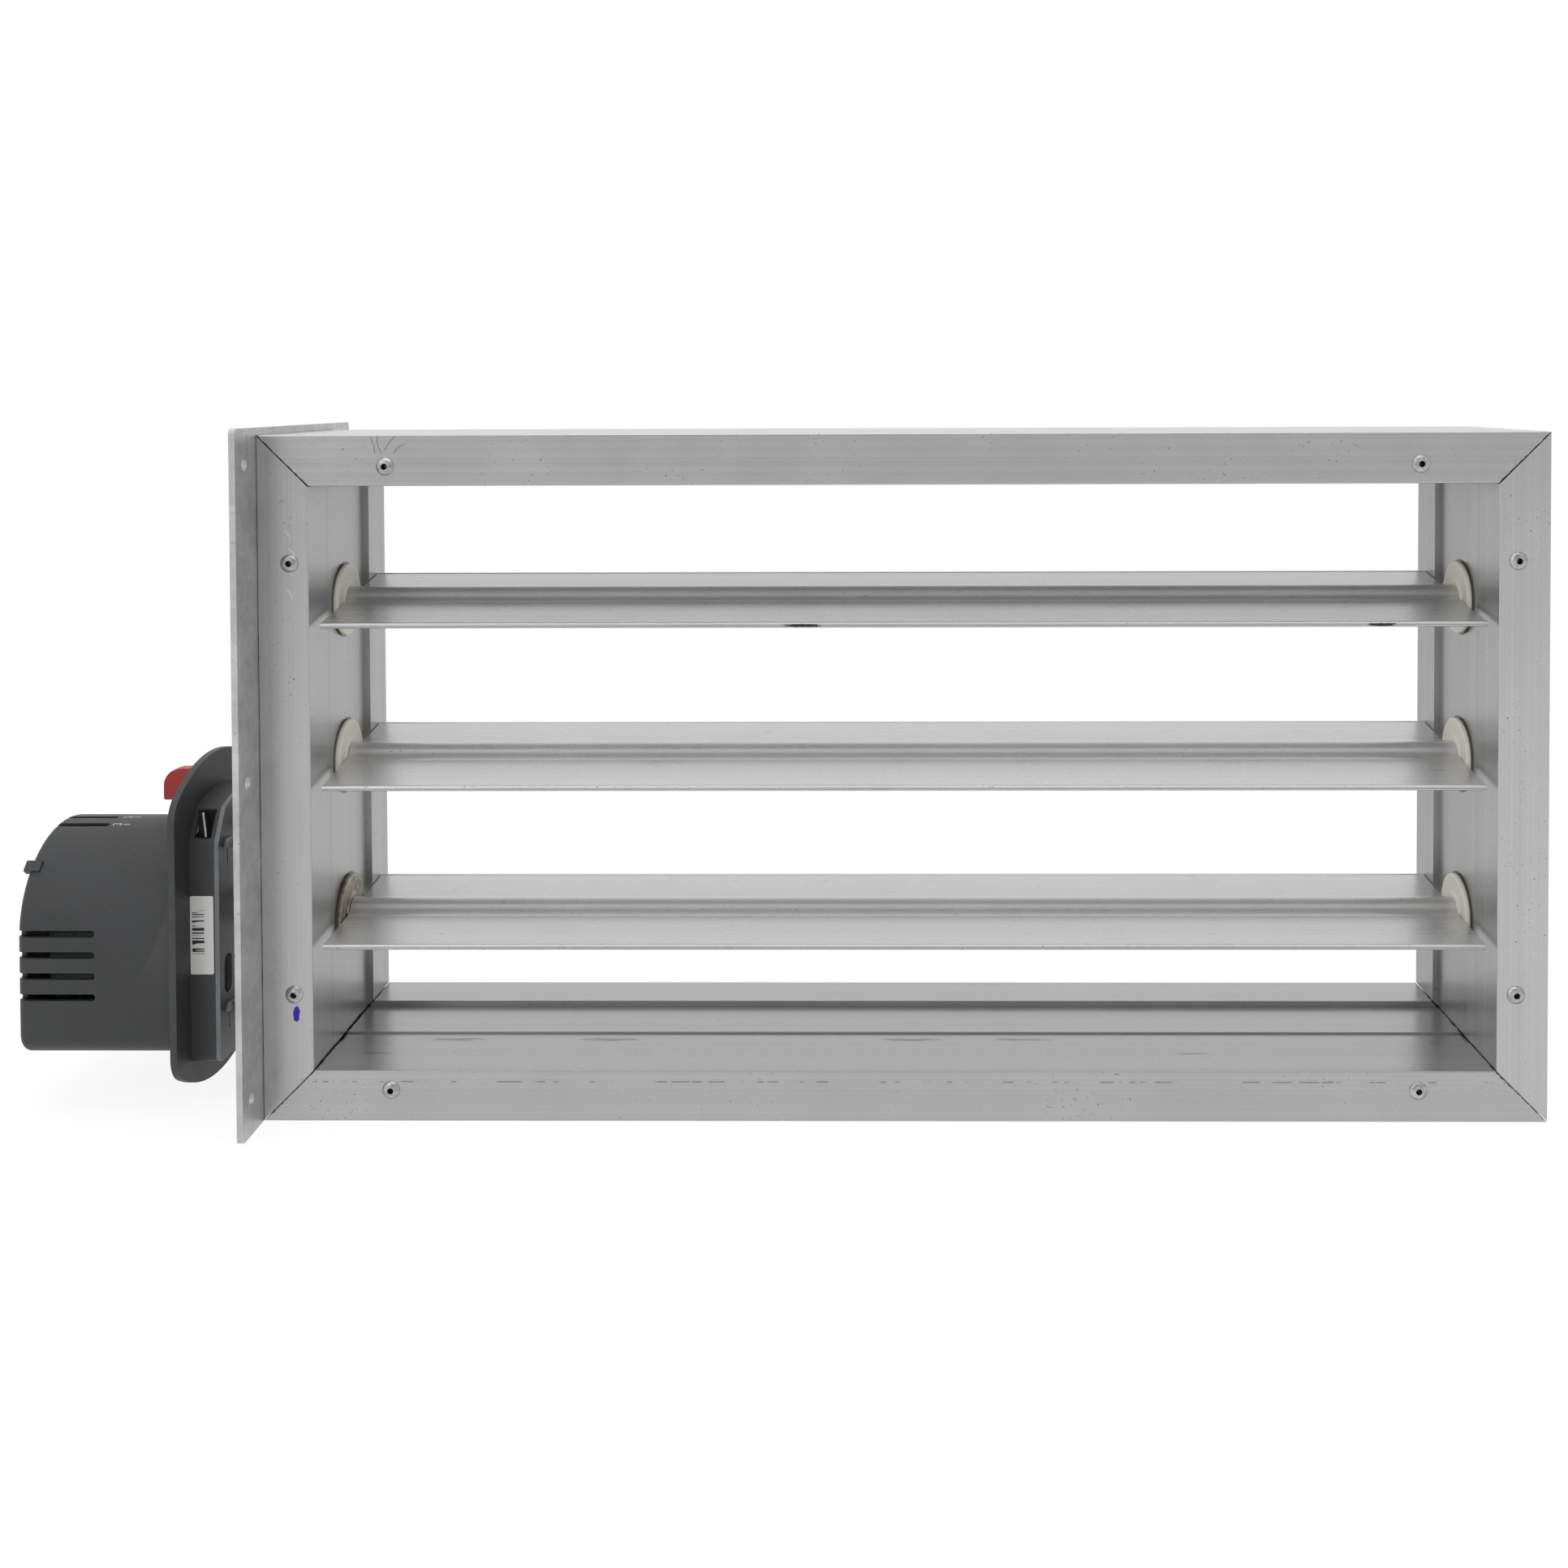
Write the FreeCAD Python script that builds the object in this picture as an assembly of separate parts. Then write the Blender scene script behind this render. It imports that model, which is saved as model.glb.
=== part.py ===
"""Zone damper: a parallel-blade duct damper with an actuator on its side mounting plate.

Millimetres. +X runs from the mounting plate into the duct, +Y along the air flow to the back,
+Z up. The origin is the centre of the plate's duct-side face.
"""
import FreeCAD
import Part
import math
import os

V = FreeCAD.Vector

# Frame
FRAME_WIDTH = 562.0
FRAME_DEPTH = 100.0
RAIL_THICKNESS = 22.3
RAIL_WALL = 2.0
RAIL_EDGE_RADIUS = 0.6
LIP_LENGTH = 25.0
LIP_RISE = 2.6
GROOVE_FRONT_Y = -19.0
GROOVE_BACK_Y = -6.5
GROOVE_DEPTH = 0.8
MITRE_GAP = 0.4

# Corner gussets and their rivets
GUSSET_ARM = 70.0
GUSSET_INSET = 2.0
GUSSET_WIDTH = 15.8
GUSSET_THICKNESS = 1.6
RIVET_ALONG = 56.0
RIVET_INSET = 13.8
RIVET_HEAD_RADIUS = 3.9
RIVET_HEAD_HEIGHT = 1.5
RIVET_SHANK_RADIUS = 2.0
RIVET_HOLE_CLEARANCE = 0.05
RIVET_BULB_RADIUS = 2.9
RIVET_BULB_LENGTH = 2.6
RIVET_CORE_RADIUS = 1.2
RIVET_CORE_DEPTH = 1.1
RIVET_DOME_OUT = 0.68
RIVET_DOME_UP = 0.72

# Mounting plate
PLATE_HEIGHT = 304.8
PLATE_ABOVE_FRAME = 3.3
PLATE_DEPTH = 146.0
PLATE_THICKNESS = 2.7
PLATE_CORNER_RADIUS = 2.0
PLATE_HOLE_RADIUS = 3.0
PLATE_HOLE_EDGE_Y = 10.0
PLATE_HOLE_EDGE_Z = 15.4
PLATE_RIVET_Y = 42.0
PLATE_RIVET_FROM_BOTTOM = 34.4
PLATE_RIVET_FROM_TOP = 31.1

# Linkage window in the drive jamb's outer wall, which the plate covers
WINDOW_HALF_DEPTH = 35.0
WINDOW_ABOVE_AXES = 32.5
WINDOW_BELOW_AXES = 54.0

# Blades
BLADE_COUNT = 3
BLADE_PITCH = 72.75
BLADE_AXIS_Y = -3.0
MIDDLE_AXIS_Z = -1.25
BLADE_CHORD = 86.0
BLADE_THICKNESS = 2.0
BLADE_BOSS_RADIUS = 6.0
BLADE_FILLET = 7.0
BLADE_BEAD_RADIUS = 1.3
BLADE_GROOVE = 0.5
BLADE_END_CLEARANCE = 0.5
BLADE_TILTS = (4.2, 7.6, 8.8)
BLADE_NAMES = ("bottom", "middle", "top")

# Axles and bushes
AXLE_RADIUS = 4.0
AXLE_IN_BLADE = 40.0
SHAFT_RADIUS = 5.0
FIXED_FIT = 0.01
RUNNING_FIT = 0.05
BUSH_FLANGE_RADIUS = 16.5
BUSH_FLANGE_THICKNESS = 2.6
BUSH_RING_RADIUS = 8.2
BUSH_RING_HEIGHT = 0.3
BUSH_SPIGOT_RADIUS = 8.0
BUSH_SPIGOT_LENGTH = 5.0
FAR_AXLE_TAIL = 6.0

# Cranks and link bar, in the drive jamb's hollow
CRANK_RADIUS = 22.0
CRANK_ANGLE = -35.0
CRANK_START = 4.0
CRANK_HUB_LENGTH = 8.0
CRANK_HUB_RADIUS = 9.0
CRANK_ARM_THICKNESS = 3.0
CRANK_ARM_WIDTH = 11.0
CRANK_AXLE_TAIL = 0.6
SET_SCREW_RADIUS = 2.0
SET_SCREW_GAP = 0.05
LINK_GAP = 0.2
LINK_THICKNESS = 3.2
LINK_WIDTH = 12.0
LINK_EYE_RADIUS = 7.5
LINK_PIN_RADIUS = 2.5
LINK_PIN_HEAD_RADIUS = 4.0
LINK_PIN_HEAD_HEIGHT = 1.4

# Actuator, held off the mounting plate on three standoffs
STANDOFF_LENGTH = 22.1
STANDOFF_RADIUS = 5.0
STANDOFF_ABOVE = 44.0
STANDOFF_BEHIND = 22.0
STANDOFF_SCREW_RADIUS = 2.0
STANDOFF_SCREW_LENGTH = 10.0
SCREW_HEAD_RADIUS = 3.9
SCREW_HEAD_HEIGHT = 2.4
SCREW_HEAD_CLEARANCE = 0.4
BRONZE_BUSH_RADIUS = 8.0
BRONZE_FLANGE_RADIUS = 11.0
BRONZE_FLANGE_THICKNESS = 2.0
BRONZE_BUSH_LENGTH = 9.0

# Actuator base and its steel back plate, measured from the drive axis
BACK_PLATE_THICKNESS = 2.0
BACK_PLATE_HOLE_RADIUS = 12.0
BACK_PLATE_SLOT_LENGTH = 17.6
BACK_PLATE_SLOT_WIDTH = 8.4
BACK_PLATE_SLOT_Y = 22.8
BACK_PLATE_SLOT_Z = -21.3
LUG_RADIUS = 4.2
LUG_Y = 22.0
LUG_TOP = 36.5
LUG_BOTTOM = -38.0
LUG_SLIT_WIDTH = 0.7
LUG_SLIT_LENGTH = 9.0
BASE_HALF_WIDTH = 32.0
BASE_BOTTOM = -59.0
BASE_SHOULDER = 40.0
BASE_FACET_Y = 24.0
BASE_TOP_RADIUS = 59.0
BASE_CORNER_RADIUS = 3.0
BASE_DEPTH = 11.2
BASE_WALL = 2.0
RIM_RADIUS = 75.0
RIM_HALF_WIDTH = 47.0
RIM_THICKNESS = 3.0
RIM_CORNER_RADIUS = 14.0
TUBE_RADIUS = 16.0
TUBE_NECK_RADIUS = 14.0
IDLER_BOSS_RADIUS = 5.0
IDLER_BOSS_LENGTH = 15.0
CLIP_POCKET_HEIGHT = 11.0
CLIP_POCKET_WIDTH = 7.6
CLIP_POCKET_MIDDLE = 47.4
CLIP_WIRE_RADIUS = 0.8
CLIP_SETBACK = 2.6
INLET_RADIUS = 5.0
INLET_Y = 10.0
GROMMET_BORE_RADIUS = 3.0
GROMMET_FLANGE_RADIUS = 5.6
GROMMET_FLANGE_THICKNESS = 1.4

# Actuator cover
COVER_LENGTH = 69.0
COVER_RADIUS = 43.5
COVER_BOTTOM = -52.0
COVER_CORNER_RADIUS = 10.0
COVER_END_RADIUS = 3.0
COVER_WALL = 2.2
FLARE_LENGTH = 12.0
FLARE_MIDDLE_LENGTH = 3.4
FLARE_MIDDLE_RADIUS = 54.0
VENT_HEIGHT = 3.0
VENT_PITCH = 9.4
VENT_FIRST_Z = 3.0
VENT_COUNT = 4
SIDE_VENT_LENGTH = 33.0
TOP_VENT_LENGTH = 24.0
TOP_VENT_COUNT = 3
LATCH_WIDTH = 5.0
LATCH_HEIGHT = 3.2
LATCH_LENGTH = 7.0
LATCH_ANGLE = 47.0
LATCH_OVERHANG = 1.5

# Setting lever, which turns on the base's neck
LEVER_START = 5.0
LEVER_THICKNESS = 2.5
LEVER_RING_RADIUS = 22.0
LEVER_ARM_WIDTH = 8.0
LEVER_TIP_RADIUS = 67.0
LEVER_FIN_RADIUS = 52.5
LEVER_FIN_LENGTH = 13.5
LEVER_FIN_WIDTH = 6.0
LEVER_FIN_ROUND = 8.0
LEVER_SLOT_CLEARANCE = 0.4
LEVER_END_PLAY = 0.8
LEVER_SLOT_HALF_ANGLE = 34.0

# Gear train and motor
GEAR_MODULE = 0.8
PRESSURE_ANGLE = 20.0
GEAR_ADDENDUM = 0.75
GEAR_DEDENDUM = 1.15
GEAR_BACKLASH = 0.2
CENTRE_SLACK = 0.1
OUTPUT_TEETH = 54
IDLER_PINION_TEETH = 14
IDLER_WHEEL_TEETH = 36
MOTOR_TEETH = 12
HUB_RADIUS = 10.0
HUB_TAIL = 2.0
SHAFT_TAIL = 3.0
GEAR_WIDTH = 5.0
GEAR_GAP = 0.4
WHEEL_WIDTH = 3.5
WHEEL_SPACE = 1.5
IDLER_HUB_RADIUS = 3.6
ARBOR_RADIUS = 2.0
GEAR_PLATE_GAP = 1.5
GEAR_PLATE_THICKNESS = 1.5
GEAR_PLATE_HALF_WIDTH = 38.0
GEAR_PLATE_TOP = 16.0
GEAR_PLATE_BOTTOM = -46.0
POST_RADIUS = 2.5
POST_Y = 34.0
POST_TOP = 12.0
POST_BOTTOM = -42.0
MOTOR_RADIUS = 13.0
MOTOR_LENGTH = 30.0
MOTOR_BOSS_RADIUS = 5.0
MOTOR_BOSS_LENGTH = 2.0
MOTOR_SHAFT_RADIUS = 1.5
MOTOR_SHAFT_LENGTH = 9.0
BOARD_Y = -28.0
BOARD_THICKNESS = 1.6
BOARD_LENGTH = 40.0
BOARD_TOP = 14.0
BOARD_BOTTOM = -38.0
TERMINAL_DEPTH = 10.0
TERMINAL_LENGTH = 16.0
TERMINAL_HEIGHT = 26.0
TERMINAL_WAYS = 4
TERMINAL_HOLE_RADIUS = 1.9
CAPACITOR_RADIUS = 5.0
CAPACITOR_LENGTH = 12.0

# Places worked out from the sizes above
FRAME_HEIGHT = PLATE_HEIGHT - PLATE_ABOVE_FRAME
FRAME_BOTTOM = -PLATE_HEIGHT / 2
FRAME_TOP = FRAME_BOTTOM + FRAME_HEIGHT
PLATE_RIVET_LEVELS = (FRAME_BOTTOM + PLATE_RIVET_FROM_BOTTOM, 0.0, FRAME_TOP - PLATE_RIVET_FROM_TOP)
FRONT = -FRAME_DEPTH / 2
BACK = FRAME_DEPTH / 2
BLADE_START = RAIL_THICKNESS + LIP_RISE + BLADE_END_CLEARANCE
BLADE_END = FRAME_WIDTH - BLADE_START
AXES_Z = [MIDDLE_AXIS_Z + BLADE_PITCH * (i - 1) for i in range(BLADE_COUNT)]
DRIVE_Z = AXES_Z[0]
WINDOW_TOP = AXES_Z[-1] + WINDOW_ABOVE_AXES
WINDOW_BOTTOM = DRIVE_Z - WINDOW_BELOW_AXES
LINK_START = CRANK_START + CRANK_HUB_LENGTH + LINK_GAP
LINK_END = LINK_START + LINK_THICKNESS

BACK_PLATE_X = -PLATE_THICKNESS - STANDOFF_LENGTH
BASE_X = BACK_PLATE_X - BACK_PLATE_THICKNESS
FLOOR_X = BASE_X - BASE_WALL
RIM_X = BASE_X - BASE_DEPTH
COVER_X = RIM_X - RIM_THICKNESS
COVER_END_X = COVER_X - COVER_LENGTH
LEVER_X = COVER_X - LEVER_START
NECK_END_X = LEVER_X - LEVER_THICKNESS - LEVER_END_PLAY
GEAR_X = NECK_END_X - GEAR_GAP
GEAR_END_X = GEAR_X - GEAR_WIDTH
WHEEL_X = GEAR_END_X - WHEEL_SPACE
WHEEL_END_X = WHEEL_X - WHEEL_WIDTH
GEAR_PLATE_X = WHEEL_END_X - GEAR_PLATE_GAP
GEAR_PLATE_END_X = GEAR_PLATE_X - GEAR_PLATE_THICKNESS
IDLER_BOSS_END_X = FLOOR_X - IDLER_BOSS_LENGTH


def pitch_radius(teeth):
    return GEAR_MODULE * teeth / 2


IDLER_Z = -(pitch_radius(OUTPUT_TEETH) + pitch_radius(IDLER_PINION_TEETH) + CENTRE_SLACK)
MOTOR_Y = pitch_radius(IDLER_WHEEL_TEETH) + pitch_radius(MOTOR_TEETH) + CENTRE_SLACK


# Helpers

def cylinder_x(x0, x1, radius, y=0.0, z=0.0):
    """Cylinder along X between two places, given in either order."""
    low = min(x0, x1)
    return Part.makeCylinder(radius, abs(x1 - x0), V(low, y, z), V(1, 0, 0))


def box(x0, x1, y0, y1, z0, z1):
    """Box between two corners, each pair given in either order."""
    corner = V(min(x0, x1), min(y0, y1), min(z0, z1))
    return Part.makeBox(abs(x1 - x0), abs(y1 - y0), abs(z1 - z0), corner)


def fuse_all(shapes):
    """One clean solid from shapes that touch or overlap."""
    result = shapes[0]
    if len(shapes) > 1:
        result = result.fuse(shapes[1:])
    return result.removeSplitter()


def corner_arc(before, corner, after, radius):
    """Tangent points and middle point of an arc that rounds one corner."""
    to_before = before.sub(corner).normalize()
    to_after = after.sub(corner).normalize()
    half = to_before.getAngle(to_after) / 2
    reach = radius / math.tan(half)
    start = corner.add(V(to_before).multiply(reach))
    end = corner.add(V(to_after).multiply(reach))
    bisector = to_before.add(to_after).normalize()
    middle = corner.add(bisector.multiply(radius / math.sin(half) - radius))
    return start, middle, end


def rounded_face(points, radii):
    """Flat face from corner points, each corner rounded by its own radius, or 0 to leave it sharp."""
    count = len(points)
    rounds = []
    for i, corner in enumerate(points):
        if radii[i] > 0:
            rounds.append(corner_arc(points[i - 1], corner, points[(i + 1) % count], radii[i]))
        else:
            rounds.append((corner, None, corner))
    edges = []
    for i, (start, middle, end) in enumerate(rounds):
        if middle is not None:
            edges.append(Part.Arc(start, middle, end).toShape())
        following = rounds[(i + 1) % count][0]
        if following.distanceToPoint(end) > 1e-6:
            edges.append(Part.LineSegment(end, following).toShape())
    return Part.Face(Part.Wire(edges))


def on_drive_axis(shape):
    """Moves a shape modelled round the X axis to the drive shaft's axis."""
    return shape.translate(V(0, BLADE_AXIS_Y, DRIVE_Z))


# Frame

def rail_section(inset):
    """Stepped box section of a rail, its outer face on Z = 0, or that section shrunk by the inset."""
    inner = RAIL_THICKNESS - inset
    raised = RAIL_THICKNESS + LIP_RISE - inset
    step = BACK - LIP_LENGTH + inset
    corners = ((FRONT + inset, inset), (BACK - inset, inset), (BACK - inset, raised),
               (step, raised), (step, inner), (FRONT + inset, inner))
    points = [V(0, y, z) for y, z in corners]
    radius = RAIL_EDGE_RADIUS if inset == 0 else 0
    return rounded_face(points, (radius, radius, radius, 0, 0, radius))


def straight_rail(length):
    """Hollow rail along X from 0, mitred at both ends."""
    solid = rail_section(0).extrude(V(length, 0, 0))
    solid = solid.cut(rail_section(RAIL_WALL).extrude(V(length, 0, 0)))
    reach = RAIL_THICKNESS + LIP_RISE + 1
    gap = MITRE_GAP * math.sqrt(0.5)
    for place, way in ((0, 1), (length, -1)):
        points = [V(place + way * (gap - 1), FRONT - 1, -1), V(place + way * (gap + reach), FRONT - 1, reach),
                  V(place - way * 2, FRONT - 1, reach), V(place - way * 2, FRONT - 1, -1)]
        wedge = Part.Face(Part.makePolygon(points + points[:1]))
        solid = solid.cut(wedge.extrude(V(0, FRAME_DEPTH + 2, 0)))
    return solid


def corner_rivet_places():
    """Places of the eight corner rivets on one face, as X and Z."""
    along, inset = RIVET_ALONG, RIVET_INSET
    places = []
    for x, to_x in ((0, 1), (FRAME_WIDTH, -1)):
        for z, to_z in ((FRAME_BOTTOM, 1), (FRAME_TOP, -1)):
            places.append((x + to_x * along, z + to_z * inset))
            places.append((x + to_x * inset, z + to_z * along))
    return places


def rivet_holes():
    """Drills for the corner rivets through the front and back walls."""
    radius = RIVET_SHANK_RADIUS + RIVET_HOLE_CLEARANCE
    depth = RAIL_WALL + GUSSET_THICKNESS
    drills = []
    for x, z in corner_rivet_places():
        drills.append(Part.makeCylinder(radius, depth, V(x, FRONT, z), V(0, 1, 0)))
        drills.append(Part.makeCylinder(radius, depth, V(x, BACK - depth, z), V(0, 1, 0)))
    return drills


def plate_rivet_places():
    """Places of the rivets that hold the plate to the drive jamb, as Y and Z."""
    return [(y, z) for y in (-PLATE_RIVET_Y, PLATE_RIVET_Y) for z in PLATE_RIVET_LEVELS]


def plate_rivet_holes():
    radius = RIVET_SHANK_RADIUS + RIVET_HOLE_CLEARANCE
    return [cylinder_x(-PLATE_THICKNESS, RAIL_WALL, radius, y, z) for y, z in plate_rivet_places()]


def axle_holes(x0, x1):
    """Bores for the bush spigots through a jamb's inner wall."""
    radius = BUSH_SPIGOT_RADIUS + RUNNING_FIT
    return [cylinder_x(x0, x1, radius, BLADE_AXIS_Y, z) for z in AXES_Z]


def frame_rails():
    y_axis = V(0, 1, 0)
    origin = V(0, 0, 0)
    bottom = straight_rail(FRAME_WIDTH).translate(V(0, 0, FRAME_BOTTOM))
    top = straight_rail(FRAME_WIDTH).rotate(origin, y_axis, 180).translate(V(FRAME_WIDTH, 0, FRAME_TOP))
    drive = straight_rail(FRAME_HEIGHT).rotate(origin, y_axis, 90).translate(V(0, 0, FRAME_TOP))
    far = straight_rail(FRAME_HEIGHT).rotate(origin, y_axis, -90).translate(V(FRAME_WIDTH, 0, FRAME_BOTTOM))
    inner_wall = RAIL_THICKNESS - RAIL_WALL
    window = box(-1, RAIL_WALL + 1, -WINDOW_HALF_DEPTH, WINDOW_HALF_DEPTH, WINDOW_BOTTOM, WINDOW_TOP)
    drive = drive.cut([window] + axle_holes(inner_wall - 1, RAIL_THICKNESS + 1) + plate_rivet_holes())
    far = far.cut(axle_holes(FRAME_WIDTH - RAIL_THICKNESS - 1, FRAME_WIDTH - inner_wall + 1))
    inner_face = FRAME_BOTTOM + RAIL_THICKNESS
    groove = box(0, FRAME_WIDTH, GROOVE_FRONT_Y, GROOVE_BACK_Y, inner_face - GROOVE_DEPTH, inner_face + 1)
    holes = rivet_holes()
    return {
        "frame_bottom_rail": bottom.cut([groove] + holes),
        "frame_top_rail": top.cut(holes),
        "drive_jamb": drive.cut(holes),
        "far_jamb": far.cut(holes),
    }


def gusset(y):
    """L-shaped gusset of the lower left corner, its front face at the given Y."""
    near = RAIL_WALL + GUSSET_INSET
    wide = near + GUSSET_WIDTH
    corners = ((near, near), (GUSSET_ARM, near), (GUSSET_ARM, wide), (wide, wide), (wide, GUSSET_ARM),
               (near, GUSSET_ARM))
    points = [V(x, y, z) for x, z in corners]
    radii = (1, 3, 3, 1, 3, 3)
    return rounded_face(points, radii).extrude(V(0, GUSSET_THICKNESS, 0))


def gussets(y):
    """The four gussets behind one face, drilled for the rivets."""
    centre = V(FRAME_WIDTH / 2, 0, FRAME_BOTTOM + FRAME_HEIGHT / 2)
    first = gusset(y).translate(V(0, 0, FRAME_BOTTOM))
    lower = [first, first.mirror(centre, V(1, 0, 0))]
    upper = [shape.mirror(centre, V(0, 0, 1)) for shape in lower]
    return Part.makeCompound([shape.cut(rivet_holes()) for shape in lower + upper])


def blind_rivet(grip):
    """Blind rivet along +Z: domed head above 0, shank through the grip and a bulb beyond it."""
    core = RIVET_CORE_RADIUS
    head = [Part.LineSegment(V(core, 0, RIVET_HEAD_HEIGHT - RIVET_CORE_DEPTH), V(core, 0, RIVET_HEAD_HEIGHT)),
            Part.Arc(V(core, 0, RIVET_HEAD_HEIGHT),
                     V(RIVET_HEAD_RADIUS * RIVET_DOME_OUT, 0, RIVET_HEAD_HEIGHT * RIVET_DOME_UP),
                     V(RIVET_HEAD_RADIUS, 0, 0))]
    outline = [V(RIVET_HEAD_RADIUS, 0, 0), V(RIVET_SHANK_RADIUS, 0, 0), V(RIVET_SHANK_RADIUS, 0, -grip),
               V(RIVET_BULB_RADIUS, 0, -grip), V(RIVET_BULB_RADIUS, 0, -grip - RIVET_BULB_LENGTH),
               V(0, 0, -grip - RIVET_BULB_LENGTH), V(0, 0, RIVET_HEAD_HEIGHT - RIVET_CORE_DEPTH),
               V(core, 0, RIVET_HEAD_HEIGHT - RIVET_CORE_DEPTH)]
    edges = [line.toShape() for line in head]
    edges += [Part.LineSegment(a, b).toShape() for a, b in zip(outline, outline[1:])]
    face = Part.Face(Part.Wire(Part.__sortEdges__(edges)))
    return face.revolve(V(0, 0, 0), V(0, 0, 1), 360)


def corner_rivets(front):
    turn = 90 if front else -90
    y = FRONT if front else BACK
    rivets = []
    for x, z in corner_rivet_places():
        rivet = blind_rivet(RAIL_WALL + GUSSET_THICKNESS)
        rivets.append(rivet.rotate(V(0, 0, 0), V(1, 0, 0), turn).translate(V(x, y, z)))
    return Part.makeCompound(rivets)


def plate_rivets():
    rivets = []
    for y, z in plate_rivet_places():
        rivet = blind_rivet(PLATE_THICKNESS + RAIL_WALL)
        rivets.append(rivet.rotate(V(0, 0, 0), V(0, 1, 0), -90).translate(V(-PLATE_THICKNESS, y, z)))
    return Part.makeCompound(rivets)


# Mounting plate

def standoff_places():
    """Places of the three standoffs, as Y and Z."""
    return ((BLADE_AXIS_Y, DRIVE_Z + STANDOFF_ABOVE), (BLADE_AXIS_Y, DRIVE_Z - STANDOFF_ABOVE),
            (BLADE_AXIS_Y + STANDOFF_BEHIND, DRIVE_Z))


def mounting_plate():
    half_y, half_z = PLATE_DEPTH / 2, PLATE_HEIGHT / 2
    corners = ((-half_y, -half_z), (half_y, -half_z), (half_y, half_z), (-half_y, half_z))
    points = [V(-PLATE_THICKNESS, y, z) for y, z in corners]
    plate = rounded_face(points, [PLATE_CORNER_RADIUS] * 4).extrude(V(PLATE_THICKNESS, 0, 0))
    hole_y = half_y - PLATE_HOLE_EDGE_Y
    hole_z = half_z - PLATE_HOLE_EDGE_Z
    drills = plate_rivet_holes()
    for y in (-hole_y, hole_y):
        for z in (-hole_z, 0, hole_z):
            drills.append(cylinder_x(-PLATE_THICKNESS, 0, PLATE_HOLE_RADIUS, y, z))
    for y, z in standoff_places():
        drills.append(cylinder_x(-PLATE_THICKNESS, 0, STANDOFF_SCREW_RADIUS + RUNNING_FIT, y, z))
    drills.append(cylinder_x(-PLATE_THICKNESS, 0, BRONZE_BUSH_RADIUS + FIXED_FIT, BLADE_AXIS_Y, DRIVE_Z))
    return plate.cut(drills)


def bronze_bush():
    flange = cylinder_x(-PLATE_THICKNESS - BRONZE_FLANGE_THICKNESS, -PLATE_THICKNESS, BRONZE_FLANGE_RADIUS)
    barrel = cylinder_x(RAIL_WALL - BRONZE_BUSH_LENGTH, RAIL_WALL, BRONZE_BUSH_RADIUS)
    bore = cylinder_x(-BRONZE_BUSH_LENGTH, RAIL_WALL + 1, SHAFT_RADIUS + RUNNING_FIT)
    return on_drive_axis(fuse_all([flange, barrel]).cut(bore))


# Blades, axles and bushes

def blade_section():
    """Blade outline round its axis: a plate with a round boss, fillets and a bead on each edge."""
    half = BLADE_THICKNESS / 2
    boss, fillet, bead = BLADE_BOSS_RADIUS, BLADE_FILLET, BLADE_BEAD_RADIUS
    fillet_y = math.sqrt((boss + fillet) ** 2 - (half + fillet) ** 2)
    share = boss / (boss + fillet)
    join_y, join_z = fillet_y * share, (half + fillet) * share
    lean = math.atan2(fillet_y, half + fillet) / 2
    bend_y = fillet_y - fillet * math.sin(lean)
    bend_z = half + fillet - fillet * math.cos(lean)
    bead_y = BLADE_CHORD / 2 - bead
    bead_join = bead_y - math.sqrt(bead ** 2 - half ** 2)
    edges = []
    for side in (1, -1):
        for way in (1, -1):
            edges.append(Part.Arc(V(0, side * join_y, way * join_z), V(0, side * bend_y, way * bend_z),
                                  V(0, side * fillet_y, way * half)))
            edges.append(Part.LineSegment(V(0, side * fillet_y, way * half), V(0, side * bead_join, way * half)))
            edges.append(Part.Arc(V(0, side * bead_join, way * half), V(0, side * bead_y, way * bead),
                                  V(0, side * (bead_y + bead), 0)))
        edges.append(Part.Arc(V(0, join_y, side * join_z), V(0, 0, side * boss), V(0, -join_y, side * join_z)))
    shapes = [edge.toShape() for edge in edges]
    return Part.Face(Part.Wire(Part.__sortEdges__(shapes)))


def blade(index):
    length = BLADE_END - BLADE_START
    solid = blade_section().extrude(V(length, 0, 0))
    cuts = [cylinder_x(0, length, AXLE_RADIUS)]
    tip = BLADE_CHORD / 2
    for side in (1, -1):
        cuts.append(box(0, length, side * (tip - BLADE_GROOVE), side * (tip + 1), -BLADE_GROOVE / 2,
                        BLADE_GROOVE / 2))
    solid = solid.cut(cuts)
    solid.rotate(V(0, 0, 0), V(1, 0, 0), BLADE_TILTS[index])
    return solid.translate(V(BLADE_START, BLADE_AXIS_Y, AXES_Z[index]))


def near_axle(index):
    """Stub axle from the crank into the blade."""
    start = CRANK_START - CRANK_AXLE_TAIL
    return cylinder_x(start, BLADE_START + AXLE_IN_BLADE, AXLE_RADIUS - FIXED_FIT, BLADE_AXIS_Y, AXES_Z[index])


def far_axle(index):
    end = FRAME_WIDTH - RAIL_THICKNESS + BUSH_SPIGOT_LENGTH + FAR_AXLE_TAIL
    return cylinder_x(BLADE_END - AXLE_IN_BLADE, end, AXLE_RADIUS - FIXED_FIT, BLADE_AXIS_Y, AXES_Z[index])


def drive_shaft():
    """Shaft from inside the bottom blade, through the jamb and the plate, into the actuator."""
    thick = cylinder_x(GEAR_END_X - HUB_TAIL - SHAFT_TAIL, BLADE_START - FIXED_FIT, SHAFT_RADIUS)
    thin = cylinder_x(BLADE_START - 1, BLADE_START + AXLE_IN_BLADE, AXLE_RADIUS - FIXED_FIT)
    return on_drive_axis(fuse_all([thick, thin]))


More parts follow.
